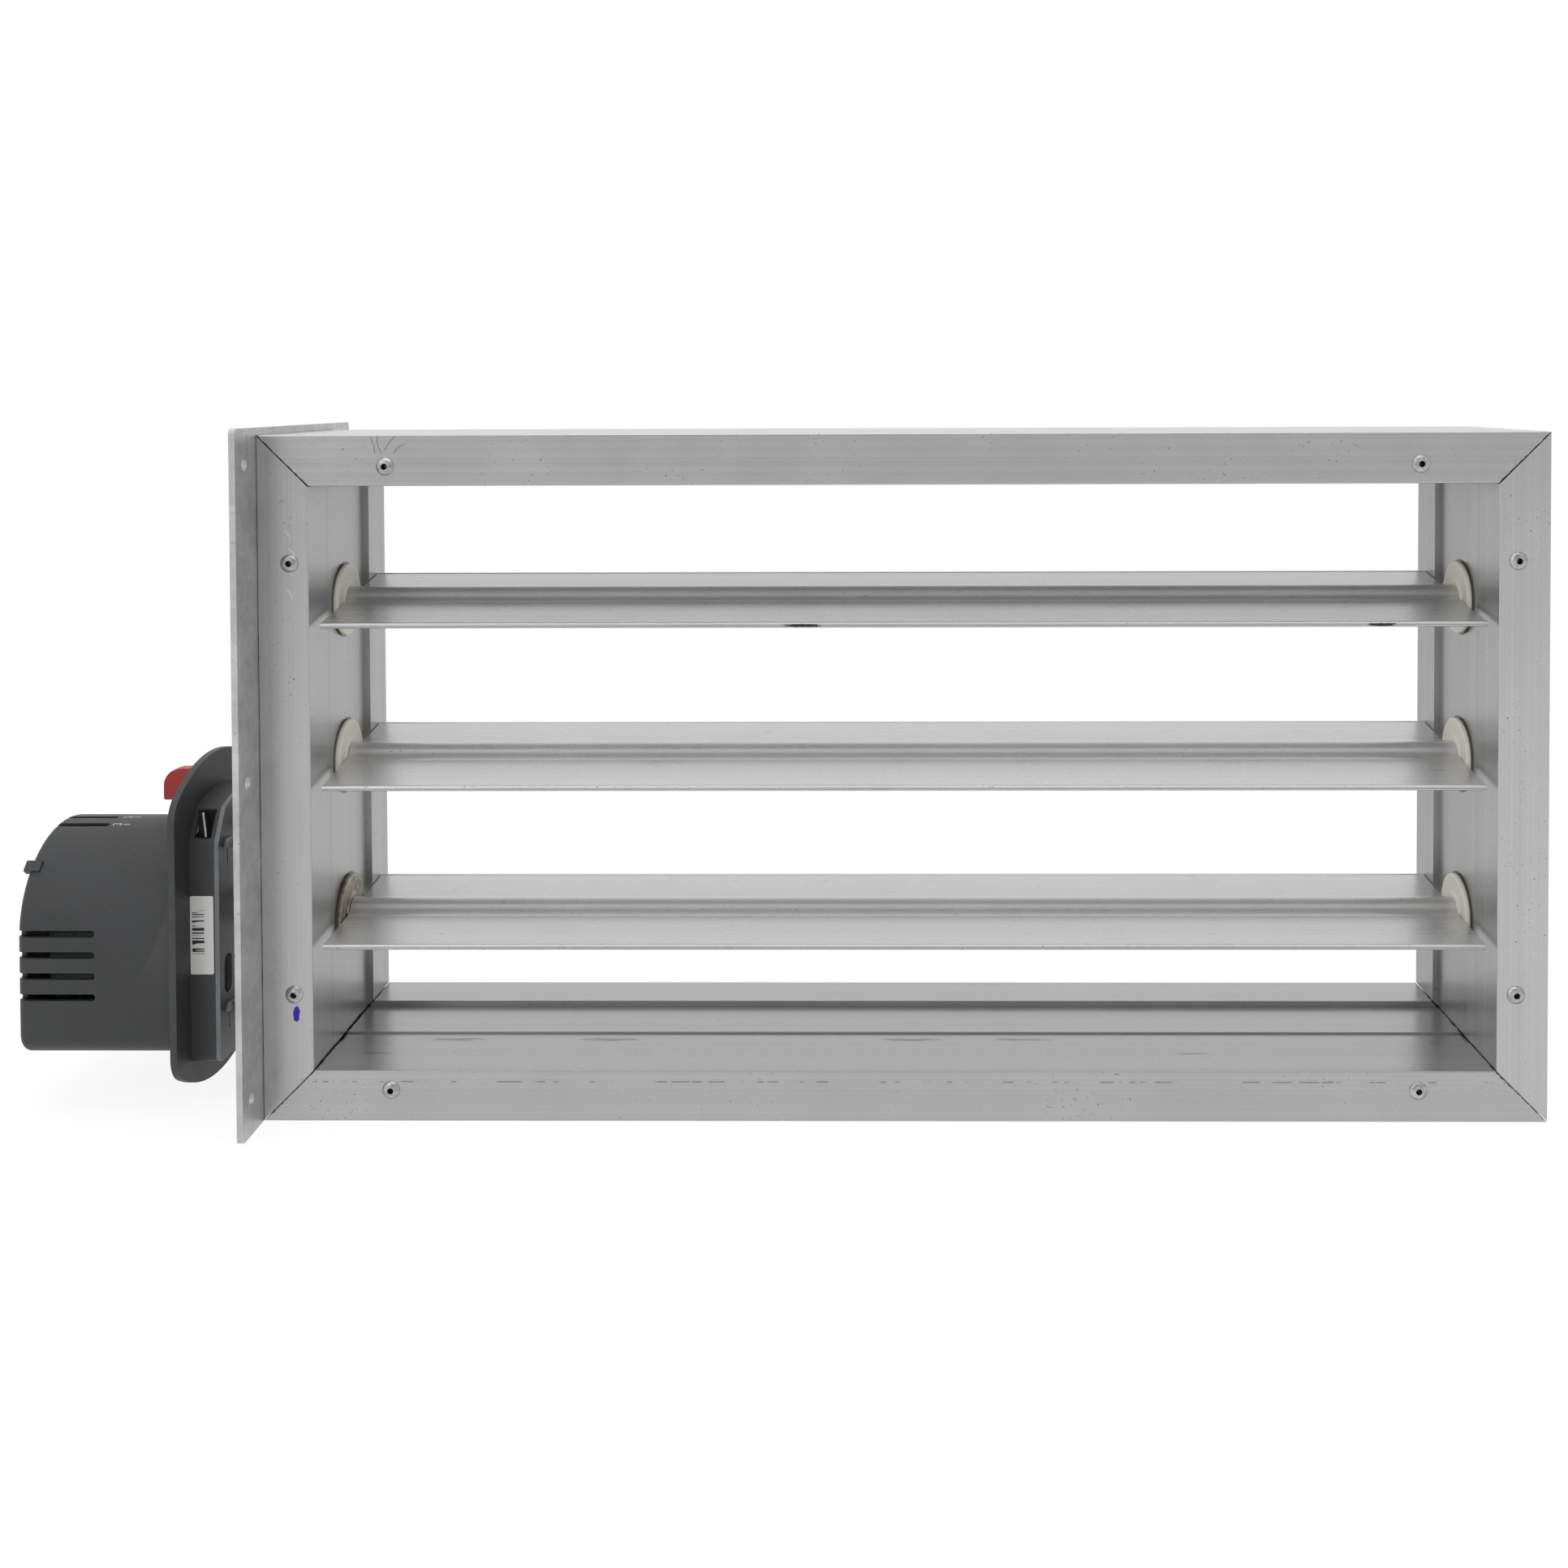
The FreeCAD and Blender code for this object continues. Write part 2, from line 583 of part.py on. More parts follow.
def flanged_bush(bore_radius):
    """Bush round the X axis, its flange's face towards the blade at positive X."""
    flange = cylinder_x(0, BUSH_FLANGE_THICKNESS, BUSH_FLANGE_RADIUS)
    ring = cylinder_x(0, BUSH_FLANGE_THICKNESS + BUSH_RING_HEIGHT, BUSH_RING_RADIUS)
    spigot = cylinder_x(-BUSH_SPIGOT_LENGTH, 0, BUSH_SPIGOT_RADIUS)
    bore = cylinder_x(-BUSH_SPIGOT_LENGTH - 1, BUSH_FLANGE_THICKNESS + 1, bore_radius)
    return fuse_all([flange, ring, spigot]).cut(bore)


def near_bush(index):
    bore = (SHAFT_RADIUS if index == 0 else AXLE_RADIUS - FIXED_FIT) + RUNNING_FIT
    return flanged_bush(bore).translate(V(RAIL_THICKNESS, BLADE_AXIS_Y, AXES_Z[index]))


def far_bush(index):
    bush = flanged_bush(AXLE_RADIUS - FIXED_FIT + RUNNING_FIT).rotate(V(0, 0, 0), V(0, 0, 1), 180)
    return bush.translate(V(FRAME_WIDTH - RAIL_THICKNESS, BLADE_AXIS_Y, AXES_Z[index]))


# Linkage

def crank_pin_offset():
    angle = math.radians(CRANK_ANGLE)
    return V(0, CRANK_RADIUS * math.cos(angle), CRANK_RADIUS * math.sin(angle))


def crank_shaft_radius(index):
    return SHAFT_RADIUS if index == 0 else AXLE_RADIUS


def crank(index):
    """Crank modelled with its arm along +Y, then turned to its angle and set on its axle."""
    end = CRANK_START + CRANK_HUB_LENGTH
    hub = cylinder_x(CRANK_START, end, CRANK_HUB_RADIUS)
    arm_start = end - CRANK_ARM_THICKNESS
    half = CRANK_ARM_WIDTH / 2
    arm = box(arm_start, end, 0, CRANK_RADIUS, -half, half)
    eye = cylinder_x(arm_start, end, half, CRANK_RADIUS, 0)
    screw_x = CRANK_START + (CRANK_HUB_LENGTH - CRANK_ARM_THICKNESS) / 2
    screw_hole = Part.makeCylinder(SET_SCREW_RADIUS + FIXED_FIT, CRANK_HUB_RADIUS + 1, V(screw_x, 0, 0), V(0, -1, 0))
    cuts = [cylinder_x(CRANK_START - 1, end + 1, crank_shaft_radius(index) + FIXED_FIT),
            cylinder_x(arm_start - 1, end + 1, LINK_PIN_RADIUS + FIXED_FIT, CRANK_RADIUS, 0), screw_hole]
    solid = fuse_all([hub, arm, eye]).cut(cuts)
    solid.rotate(V(0, 0, 0), V(1, 0, 0), CRANK_ANGLE)
    return solid.translate(V(0, BLADE_AXIS_Y, AXES_Z[index]))


def crank_screw(index):
    start = crank_shaft_radius(index) + SET_SCREW_GAP
    screw_x = CRANK_START + (CRANK_HUB_LENGTH - CRANK_ARM_THICKNESS) / 2
    screw = Part.makeCylinder(SET_SCREW_RADIUS, CRANK_HUB_RADIUS - start, V(screw_x, -start, 0), V(0, -1, 0))
    screw.rotate(V(0, 0, 0), V(1, 0, 0), CRANK_ANGLE)
    return screw.translate(V(0, BLADE_AXIS_Y, AXES_Z[index]))


def crank_pin(index):
    head_x = LINK_END + LINK_GAP
    shank = cylinder_x(CRANK_START + CRANK_HUB_LENGTH - CRANK_ARM_THICKNESS, head_x, LINK_PIN_RADIUS)
    head = cylinder_x(head_x, head_x + LINK_PIN_HEAD_HEIGHT, LINK_PIN_HEAD_RADIUS)
    return fuse_all([shank, head]).translate(crank_pin_offset().add(V(0, BLADE_AXIS_Y, AXES_Z[index])))


def link_bar():
    offset = crank_pin_offset()
    half = LINK_WIDTH / 2
    y = BLADE_AXIS_Y + offset.y
    places = [z + offset.z for z in AXES_Z]
    bar = box(LINK_START, LINK_END, y - half, y + half, places[0], places[-1])
    eyes = [cylinder_x(LINK_START, LINK_END, LINK_EYE_RADIUS, y, z) for z in places]
    holes = [cylinder_x(LINK_START, LINK_END, LINK_PIN_RADIUS + RUNNING_FIT, y, z) for z in places]
    return fuse_all([bar] + eyes).cut(holes)


# Actuator mounting

def standoffs():
    posts = []
    for y, z in standoff_places():
        post = cylinder_x(BACK_PLATE_X, -PLATE_THICKNESS, STANDOFF_RADIUS, y, z)
        posts.append(post.cut(cylinder_x(BACK_PLATE_X, -PLATE_THICKNESS, STANDOFF_SCREW_RADIUS, y, z)))
    return Part.makeCompound(posts)


def standoff_screws():
    """Pan-head screws into both ends of each standoff."""
    radius = STANDOFF_SCREW_RADIUS - FIXED_FIT
    screws = []
    for y, z in standoff_places():
        for seat, way, grip in ((0, 1, PLATE_THICKNESS), (BASE_X, -1, BACK_PLATE_THICKNESS)):
            head = cylinder_x(seat, seat + way * SCREW_HEAD_HEIGHT, SCREW_HEAD_RADIUS, y, z)
            shank = cylinder_x(seat, seat - way * (grip + STANDOFF_SCREW_LENGTH), radius, y, z)
            screws.append(fuse_all([head, shank]))
    return Part.makeCompound(screws)


def base_outline(inset):
    """Outline of the actuator base in the plane X = 0, round the drive axis."""
    half = BASE_HALF_WIDTH - inset
    bottom = BASE_BOTTOM + inset
    radius = BASE_TOP_RADIUS - inset
    facet_y = BASE_FACET_Y
    facet_z = math.sqrt(radius ** 2 - facet_y ** 2)
    top = V(0, 0, radius)
    arc = Part.Arc(V(0, facet_y, facet_z), top, V(0, -facet_y, facet_z)).toShape()
    corner = max(BASE_CORNER_RADIUS - inset, 0.5)
    right_start, right_middle, right_end = corner_arc(V(0, -half, bottom), V(0, half, bottom),
                                                      V(0, half, BASE_SHOULDER), corner)
    flip = [V(0, -p.y, p.z) for p in (right_end, right_middle, right_start)]
    lines = [(V(0, -facet_y, facet_z), V(0, -half, BASE_SHOULDER)), (V(0, -half, BASE_SHOULDER), flip[0]),
             (flip[2], right_start), (right_end, V(0, half, BASE_SHOULDER)),
             (V(0, half, BASE_SHOULDER), V(0, facet_y, facet_z))]
    edges = [arc, Part.Arc(right_start, right_middle, right_end).toShape(), Part.Arc(*flip).toShape()]
    edges += [Part.LineSegment(a, b).toShape() for a, b in lines]
    return Part.Face(Part.Wire(Part.__sortEdges__(edges)))


def rim_prism(x0, x1):
    """Rim outline, a disc with straight sides, between two places."""
    disc = cylinder_x(x0, x1, RIM_RADIUS)
    slab = box(x0, x1, -RIM_HALF_WIDTH, RIM_HALF_WIDTH, -RIM_RADIUS, RIM_RADIUS)
    solid = disc.common(slab)
    sharp = [edge for edge in solid.Edges if edge.BoundBox.XLength > abs(x1 - x0) - 1e-3
             and abs(edge.BoundBox.Center.y) > RIM_HALF_WIDTH - 1e-3]
    return solid.makeFillet(RIM_CORNER_RADIUS, sharp)


def obround_x(x0, x1, width, length, y, z):
    """Slot cutter through X, its length along Z."""
    reach = (length - width) / 2
    middle = box(x0, x1, y - width / 2, y + width / 2, z - reach, z + reach)
    ends = [cylinder_x(x0, x1, width / 2, y, z - reach), cylinder_x(x0, x1, width / 2, y, z + reach)]
    return fuse_all([middle] + ends)


def lug(y, z):
    """Half-round lug pressed out of the back plate towards the mounting plate."""
    ball = Part.makeSphere(LUG_RADIUS, V(BACK_PLATE_X, y, z))
    keep = box(BACK_PLATE_X - 0.5, BACK_PLATE_X + LUG_RADIUS, y - LUG_RADIUS, y + LUG_RADIUS, z, z + LUG_RADIUS)
    return ball.common(keep)


def back_plate():
    plate = base_outline(0).extrude(V(-BACK_PLATE_THICKNESS, 0, 0)).translate(V(BACK_PLATE_X, 0, 0))
    lugs = []
    cuts = [cylinder_x(BACK_PLATE_X + 1, BASE_X - 1, BACK_PLATE_HOLE_RADIUS)]
    for y in (-LUG_Y, LUG_Y):
        for z in (LUG_TOP, LUG_BOTTOM):
            lugs.append(lug(y, z))
            half = LUG_SLIT_WIDTH / 2
            cuts.append(box(BACK_PLATE_X, BASE_X, y - half, y + half, z - LUG_SLIT_LENGTH, z - 1))
    for y in (-BACK_PLATE_SLOT_Y, BACK_PLATE_SLOT_Y):
        cuts.append(obround_x(BACK_PLATE_X, BASE_X, BACK_PLATE_SLOT_WIDTH, BACK_PLATE_SLOT_LENGTH, y,
                              BACK_PLATE_SLOT_Z))
    plate = on_drive_axis(fuse_all([plate] + lugs).cut(cuts))
    holes = [cylinder_x(BACK_PLATE_X, BASE_X, STANDOFF_SCREW_RADIUS + RUNNING_FIT, y, z)
             for y, z in standoff_places()]
    return plate.cut(holes)


def clip_box():
    """Pocket in the front facet for the spring clip, as X, Y and Z limits from the drive axis."""
    middle = (BASE_X + RIM_X) / 2
    half_width, half_height = CLIP_POCKET_WIDTH / 2, CLIP_POCKET_HEIGHT / 2
    return (middle - half_width, middle + half_width, -BASE_HALF_WIDTH - 1, -BASE_FACET_Y + BASE_WALL,
            CLIP_POCKET_MIDDLE - half_height, CLIP_POCKET_MIDDLE + half_height)


def actuator_base():
    """Moulded base: a tray with a facet and a drum top, a wide rim, the shaft tube and a gear boss."""
    tray = base_outline(0).extrude(V(-BASE_DEPTH, 0, 0)).translate(V(BASE_X, 0, 0))
    rim = rim_prism(RIM_X, COVER_X)
    pocket = base_outline(BASE_WALL).extrude(V(COVER_X - FLOOR_X - 1, 0, 0)).translate(V(FLOOR_X, 0, 0))
    tube = cylinder_x(FLOOR_X, LEVER_X + LINK_GAP, TUBE_RADIUS)
    neck = cylinder_x(FLOOR_X, NECK_END_X, TUBE_NECK_RADIUS)
    boss = cylinder_x(FLOOR_X, IDLER_BOSS_END_X, IDLER_BOSS_RADIUS, 0, IDLER_Z)
    shell = tray.fuse(rim).cut(pocket)
    solid = fuse_all([shell, tube, neck, boss])
    cuts = [cylinder_x(FLOOR_X, NECK_END_X, HUB_RADIUS + RUNNING_FIT),
            cylinder_x(BASE_X, FLOOR_X, SHAFT_RADIUS + 1),
            cylinder_x(FLOOR_X, IDLER_BOSS_END_X, ARBOR_RADIUS + FIXED_FIT, 0, IDLER_Z),
            box(*clip_box()),
            Part.makeCylinder(INLET_RADIUS + FIXED_FIT, BASE_WALL + 1,
                              V((BASE_X + RIM_X) / 2, INLET_Y, BASE_BOTTOM - 0.5), V(0, 0, 1))]
    for y, z in standoff_places():
        cuts.append(cylinder_x(BASE_X, FLOOR_X - 1, SCREW_HEAD_RADIUS + SCREW_HEAD_CLEARANCE,
                               y - BLADE_AXIS_Y, z - DRIVE_Z))
    return on_drive_axis(solid.cut(cuts))


def spring_clip():
    """Wire across the pocket, its upper end set back."""
    x0, x1, _, _, low, high = clip_box()
    middle = (x0 + x1) / 2
    y = -BASE_HALF_WIDTH + CLIP_SETBACK
    bottom = V(middle + 1, y, low + CLIP_WIRE_RADIUS)
    top = V(middle - 1, y + 2, high - CLIP_WIRE_RADIUS)
    along = top.sub(bottom)
    wire = Part.makeCylinder(CLIP_WIRE_RADIUS, along.Length, bottom, along)
    ends = [Part.makeSphere(CLIP_WIRE_RADIUS, place) for place in (bottom, top)]
    return on_drive_axis(fuse_all([wire] + ends))


def cable_grommet():
    x = (BASE_X + RIM_X) / 2
    up = V(0, 0, 1)
    flange = Part.makeCylinder(GROMMET_FLANGE_RADIUS, GROMMET_FLANGE_THICKNESS,
                               V(x, INLET_Y, BASE_BOTTOM - GROMMET_FLANGE_THICKNESS), up)
    spigot = Part.makeCylinder(INLET_RADIUS, BASE_WALL, V(x, INLET_Y, BASE_BOTTOM), up)
    bore = Part.makeCylinder(GROMMET_BORE_RADIUS, BASE_WALL + GROMMET_FLANGE_THICKNESS + 2,
                             V(x, INLET_Y, BASE_BOTTOM - GROMMET_FLANGE_THICKNESS - 1), up)
    return on_drive_axis(fuse_all([flange, spigot]).cut(bore))


# Actuator cover

def cover_outline(inset):
    """Cover outline in the plane X = 0: a half round over straight sides, with rounded lower corners."""
    radius = COVER_RADIUS - inset
    bottom = COVER_BOTTOM + inset
    corner = COVER_CORNER_RADIUS - inset
    start, middle, end = corner_arc(V(0, -radius, bottom), V(0, radius, bottom), V(0, radius, 0), corner)
    flip = [V(0, -p.y, p.z) for p in (end, middle, start)]
    edges = [Part.Arc(V(0, radius, 0), V(0, 0, radius), V(0, -radius, 0)).toShape(),
             Part.LineSegment(V(0, -radius, 0), flip[0]).toShape(), Part.Arc(*flip).toShape(),
             Part.LineSegment(flip[2], start).toShape(), Part.Arc(start, middle, end).toShape(),
             Part.LineSegment(end, V(0, radius, 0)).toShape()]
    return Part.Face(Part.Wire(edges))


def cover_flare():
    """Concave skirt that spreads from the cover to the rim, cut off at the rim's straight sides."""
    inner = COVER_RADIUS - COVER_WALL
    rim = V(COVER_X, 0, RIM_RADIUS)
    waist = V(COVER_X - FLARE_LENGTH, 0, COVER_RADIUS)
    middle = V(COVER_X - FLARE_MIDDLE_LENGTH, 0, FLARE_MIDDLE_RADIUS)
    corners = [waist, V(COVER_X - FLARE_LENGTH, 0, inner), V(COVER_X, 0, inner), rim]
    edges = [Part.Arc(rim, middle, waist).toShape()]
    edges += [Part.LineSegment(a, b).toShape() for a, b in zip(corners, corners[1:])]
    skirt = Part.Face(Part.Wire(edges)).revolve(V(0, 0, 0), V(1, 0, 0), 360)
    return skirt.common(rim_prism(COVER_X, COVER_X - FLARE_LENGTH))


def vent_cutter(length):
    """Vent slot along X from its rounded inner end past the cover's end, centred on Z = 0."""
    start = COVER_END_X + length
    low, high = COVER_RADIUS - COVER_WALL * 2, COVER_RADIUS + 1
    body = box(start, COVER_END_X - 1, low, high, -VENT_HEIGHT / 2, VENT_HEIGHT / 2)
    tip = Part.makeCylinder(VENT_HEIGHT / 2, high - low, V(start, low, 0), V(0, 1, 0))
    return fuse_all([body, tip])


def vent_cutters():
    cutters = []
    for side in (0, 180):
        for row in range(VENT_COUNT):
            z = VENT_FIRST_Z - row * VENT_PITCH
            cutter = vent_cutter(SIDE_VENT_LENGTH).rotate(V(0, 0, 0), V(1, 0, 0), side)
            cutters.append(cutter.translate(V(0, 0, z)))
    spread = math.degrees(VENT_PITCH / COVER_RADIUS)
    for row in range(TOP_VENT_COUNT):
        angle = 90 + spread * (row - (TOP_VENT_COUNT - 1) / 2)
        cutters.append(vent_cutter(TOP_VENT_LENGTH).rotate(V(0, 0, 0), V(1, 0, 0), angle))
    return cutters


def lever_slot():
    """Arc slot through the cover's skirt for the lever's arm."""
    x0 = LEVER_X + LEVER_SLOT_CLEARANCE
    x1 = LEVER_X - LEVER_THICKNESS - LEVER_SLOT_CLEARANCE
    low, high = COVER_RADIUS - COVER_WALL - 2, RIM_RADIUS
    points = [V(x0, 0, low), V(x0, 0, high), V(x1, 0, high), V(x1, 0, low)]
    face = Part.Face(Part.makePolygon(points + points[:1]))
    face.rotate(V(0, 0, 0), V(1, 0, 0), -LEVER_SLOT_HALF_ANGLE)
    return face.revolve(V(0, 0, 0), V(1, 0, 0), 2 * LEVER_SLOT_HALF_ANGLE)


def cover_latch():
    """Small release tab on the cover's end edge."""
    radius = COVER_RADIUS
    tab = box(COVER_END_X - LATCH_OVERHANG, COVER_END_X - LATCH_OVERHANG + LATCH_LENGTH, -LATCH_WIDTH / 2, LATCH_WIDTH / 2,
              radius - COVER_WALL, radius - COVER_WALL + LATCH_HEIGHT)
    return tab.rotate(V(0, 0, 0), V(1, 0, 0), LATCH_ANGLE)


def actuator_cover():
    body = cover_outline(0).extrude(V(-COVER_LENGTH, 0, 0)).translate(V(COVER_X, 0, 0))
    end_edges = [edge for edge in body.Edges if edge.BoundBox.XMax < COVER_END_X + 1e-3]
    body = body.makeFillet(COVER_END_RADIUS, end_edges)
    hollow = cover_outline(COVER_WALL).extrude(V(COVER_WALL - COVER_LENGTH, 0, 0)).translate(V(COVER_X, 0, 0))
    shell = fuse_all([body, cover_flare(), cover_latch()]).cut([hollow] + vent_cutters() + [lever_slot()])
    return on_drive_axis(shell)


def setting_lever():
    """Ring on the base's neck, an arm out through the skirt's slot and a finger fin beyond the rim."""
    x1 = LEVER_X - LEVER_THICKNESS
    half = LEVER_ARM_WIDTH / 2
    ring = cylinder_x(LEVER_X, x1, LEVER_RING_RADIUS)
    arm = box(LEVER_X, x1, -half, half, 0, LEVER_TIP_RADIUS - 2)
    fin_half = LEVER_FIN_WIDTH / 2
    fin_end = x1 - LEVER_FIN_LENGTH
    corners = ((LEVER_X, LEVER_FIN_RADIUS), (fin_end, LEVER_FIN_RADIUS), (fin_end, LEVER_TIP_RADIUS),
               (LEVER_X, LEVER_TIP_RADIUS))
    points = [V(x, -fin_half, z) for x, z in corners]
    fin = rounded_face(points, (0, 1, LEVER_FIN_ROUND, 1)).extrude(V(0, LEVER_FIN_WIDTH, 0))
    bore = cylinder_x(LEVER_X, x1, TUBE_NECK_RADIUS + RUNNING_FIT)
    return on_drive_axis(fuse_all([ring, arm, fin]).cut(bore))


# Gear train, motor and circuit board

def tooth_half_angle(teeth, radius):
    """Half the angle that a tooth covers at a radius, for an involute flank."""
    pitch = pitch_radius(teeth)
    base = pitch * math.cos(math.radians(PRESSURE_ANGLE))

    def involute(r):
        slope = math.acos(min(1.0, base / r))
        return math.tan(slope) - slope

    at_pitch = math.pi / (2 * teeth) - GEAR_BACKLASH / (2 * pitch)
    return at_pitch + involute(pitch) - involute(max(radius, base))


def spur_gear(teeth, x0, x1, towards):
    """Spur gear round the X axis with a tooth pointing at the given angle from +Y, in degrees."""
    pitch = pitch_radius(teeth)
    root = pitch - GEAR_DEDENDUM * GEAR_MODULE
    tip = pitch + GEAR_ADDENDUM * GEAR_MODULE
    radii = (root, (root + pitch) / 2, pitch, (pitch + tip) / 2, tip)
    points = []
    for tooth in range(teeth):
        centre = math.radians(towards) + 2 * math.pi * tooth / teeth
        flank = [(r, tooth_half_angle(teeth, r)) for r in radii]
        turns = [(r, centre - half) for r, half in flank] + [(r, centre + half) for r, half in reversed(flank)]
        points += [V(x0, r * math.cos(a), r * math.sin(a)) for r, a in turns]
    face = Part.Face(Part.makePolygon(points + points[:1]))
    return face.extrude(V(x1 - x0, 0, 0))


def gap_angle(teeth, towards):
    """Angle for spur_gear that puts a gap, not a tooth, at the given angle."""
    return towards + 180.0 / teeth


def drive_hub():
    hub = cylinder_x(FLOOR_X - GEAR_GAP, GEAR_END_X - HUB_TAIL, HUB_RADIUS)
    return on_drive_axis(hub.cut(cylinder_x(FLOOR_X, GEAR_END_X - HUB_TAIL - 1, SHAFT_RADIUS + FIXED_FIT)))


def output_gear():
    gear = spur_gear(OUTPUT_TEETH, GEAR_X, GEAR_END_X, -90)
    return on_drive_axis(gear.cut(cylinder_x(GEAR_X, GEAR_END_X, HUB_RADIUS + FIXED_FIT)))


def idler_gear():
    """Two-step gear: the pinion meshes with the output gear, the wheel with the motor pinion."""
    pinion = spur_gear(IDLER_PINION_TEETH, GEAR_X, WHEEL_X, gap_angle(IDLER_PINION_TEETH, 90))
    wheel = spur_gear(IDLER_WHEEL_TEETH, WHEEL_X, WHEEL_END_X, 0)
    hub = cylinder_x(IDLER_BOSS_END_X - GEAR_GAP, GEAR_X, IDLER_HUB_RADIUS)
    gear = fuse_all([pinion, wheel, hub])
    bore = cylinder_x(IDLER_BOSS_END_X, WHEEL_END_X - 1, ARBOR_RADIUS + RUNNING_FIT)
    return on_drive_axis(gear.cut(bore).translate(V(0, 0, IDLER_Z)))


def idler_arbor():
    return on_drive_axis(cylinder_x(FLOOR_X, GEAR_PLATE_END_X, ARBOR_RADIUS, 0, IDLER_Z))


def motor_pinion():
    pinion = spur_gear(MOTOR_TEETH, WHEEL_X, WHEEL_END_X, gap_angle(MOTOR_TEETH, 180))
    shaft = cylinder_x(WHEEL_X + 1, GEAR_PLATE_END_X - MOTOR_SHAFT_LENGTH, MOTOR_SHAFT_RADIUS)
    return on_drive_axis(fuse_all([pinion, shaft]).translate(V(0, MOTOR_Y, IDLER_Z)))


def motor():
    can = cylinder_x(GEAR_PLATE_END_X, GEAR_PLATE_END_X - MOTOR_LENGTH, MOTOR_RADIUS)
    rear = cylinder_x(GEAR_PLATE_END_X, GEAR_PLATE_END_X - MOTOR_LENGTH - MOTOR_BOSS_LENGTH, MOTOR_BOSS_RADIUS)
    bore = cylinder_x(GEAR_PLATE_END_X, GEAR_PLATE_END_X - MOTOR_SHAFT_LENGTH - 1, MOTOR_SHAFT_RADIUS + RUNNING_FIT)
    return on_drive_axis(fuse_all([can, rear]).cut(bore).translate(V(0, MOTOR_Y, IDLER_Z)))


def gear_plate():
    plate = box(GEAR_PLATE_X, GEAR_PLATE_END_X, -GEAR_PLATE_HALF_WIDTH, GEAR_PLATE_HALF_WIDTH,
                GEAR_PLATE_BOTTOM, GEAR_PLATE_TOP)
    cuts = [cylinder_x(GEAR_PLATE_X, GEAR_PLATE_END_X, SHAFT_RADIUS + 1),
            cylinder_x(GEAR_PLATE_X, GEAR_PLATE_END_X, ARBOR_RADIUS + FIXED_FIT, 0, IDLER_Z),
            cylinder_x(GEAR_PLATE_X, GEAR_PLATE_END_X, MOTOR_SHAFT_RADIUS + 1, MOTOR_Y, IDLER_Z)]
    return on_drive_axis(plate.cut(cuts))


def gear_plate_posts():
    posts = [cylinder_x(COVER_X, GEAR_PLATE_X, POST_RADIUS, y, z)
             for y in (-POST_Y, POST_Y) for z in (POST_TOP, POST_BOTTOM)]
    return on_drive_axis(Part.makeCompound(posts))


def circuit_board():
    end = GEAR_PLATE_END_X - BOARD_LENGTH
    board = box(GEAR_PLATE_END_X, end, BOARD_Y - BOARD_THICKNESS, BOARD_Y, BOARD_BOTTOM, BOARD_TOP)
    x = GEAR_PLATE_END_X - CAPACITOR_RADIUS - 2
    capacitor = Part.makeCylinder(CAPACITOR_RADIUS, CAPACITOR_LENGTH, V(x, BOARD_Y, 0), V(0, 1, 0))
    return on_drive_axis(fuse_all([board, capacitor]))


def terminal_block():
    end = GEAR_PLATE_END_X - BOARD_LENGTH + 2
    low = BOARD_BOTTOM + 2
    block = box(end, end + TERMINAL_LENGTH, BOARD_Y, BOARD_Y + TERMINAL_DEPTH, low, low + TERMINAL_HEIGHT)
    step = TERMINAL_HEIGHT / TERMINAL_WAYS
    holes = [Part.makeCylinder(TERMINAL_HOLE_RADIUS, TERMINAL_DEPTH / 2,
                               V(end + TERMINAL_LENGTH / 2, BOARD_Y + TERMINAL_DEPTH / 2, low + step * (i + 0.5)),
                               V(0, 1, 0)) for i in range(TERMINAL_WAYS)]
    return on_drive_axis(block.cut(holes))


def build():
    """Every piece by its node's name."""
    nodes = frame_rails()
    nodes["corner_gussets_front"] = gussets(FRONT + RAIL_WALL)
    nodes["corner_gussets_back"] = gussets(BACK - RAIL_WALL - GUSSET_THICKNESS)
    nodes["corner_rivets_front"] = corner_rivets(True)
    nodes["corner_rivets_back"] = corner_rivets(False)
    nodes["mounting_plate"] = mounting_plate()
    nodes["plate_rivets"] = plate_rivets()
    nodes["bronze_bush"] = bronze_bush()
    for index, name in enumerate(BLADE_NAMES):
        nodes["blade_" + name] = blade(index)
        nodes["far_axle_" + name] = far_axle(index)
        nodes["near_bush_" + name] = near_bush(index)
        nodes["far_bush_" + name] = far_bush(index)
        nodes["crank_" + name] = crank(index)
        nodes["crank_screw_" + name] = crank_screw(index)
        nodes["crank_pin_" + name] = crank_pin(index)
    nodes["near_axle_middle"] = near_axle(1)
    nodes["near_axle_top"] = near_axle(2)
    nodes["drive_shaft"] = drive_shaft()
    for maker in (link_bar, standoffs, standoff_screws, back_plate, actuator_base, spring_clip, cable_grommet,
                  actuator_cover, setting_lever, drive_hub, output_gear, idler_gear, idler_arbor,
                  motor_pinion, motor, gear_plate, gear_plate_posts, circuit_board, terminal_block):
        nodes[maker.__name__] = maker()
    return nodes


os.makedirs("parts", exist_ok=True)
for node, shape in build().items():
    shape.exportStep(os.path.join("parts", node + ".step"))
    print(node, len(shape.Solids), shape.isValid(), round(shape.Volume, 1))
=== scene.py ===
import math

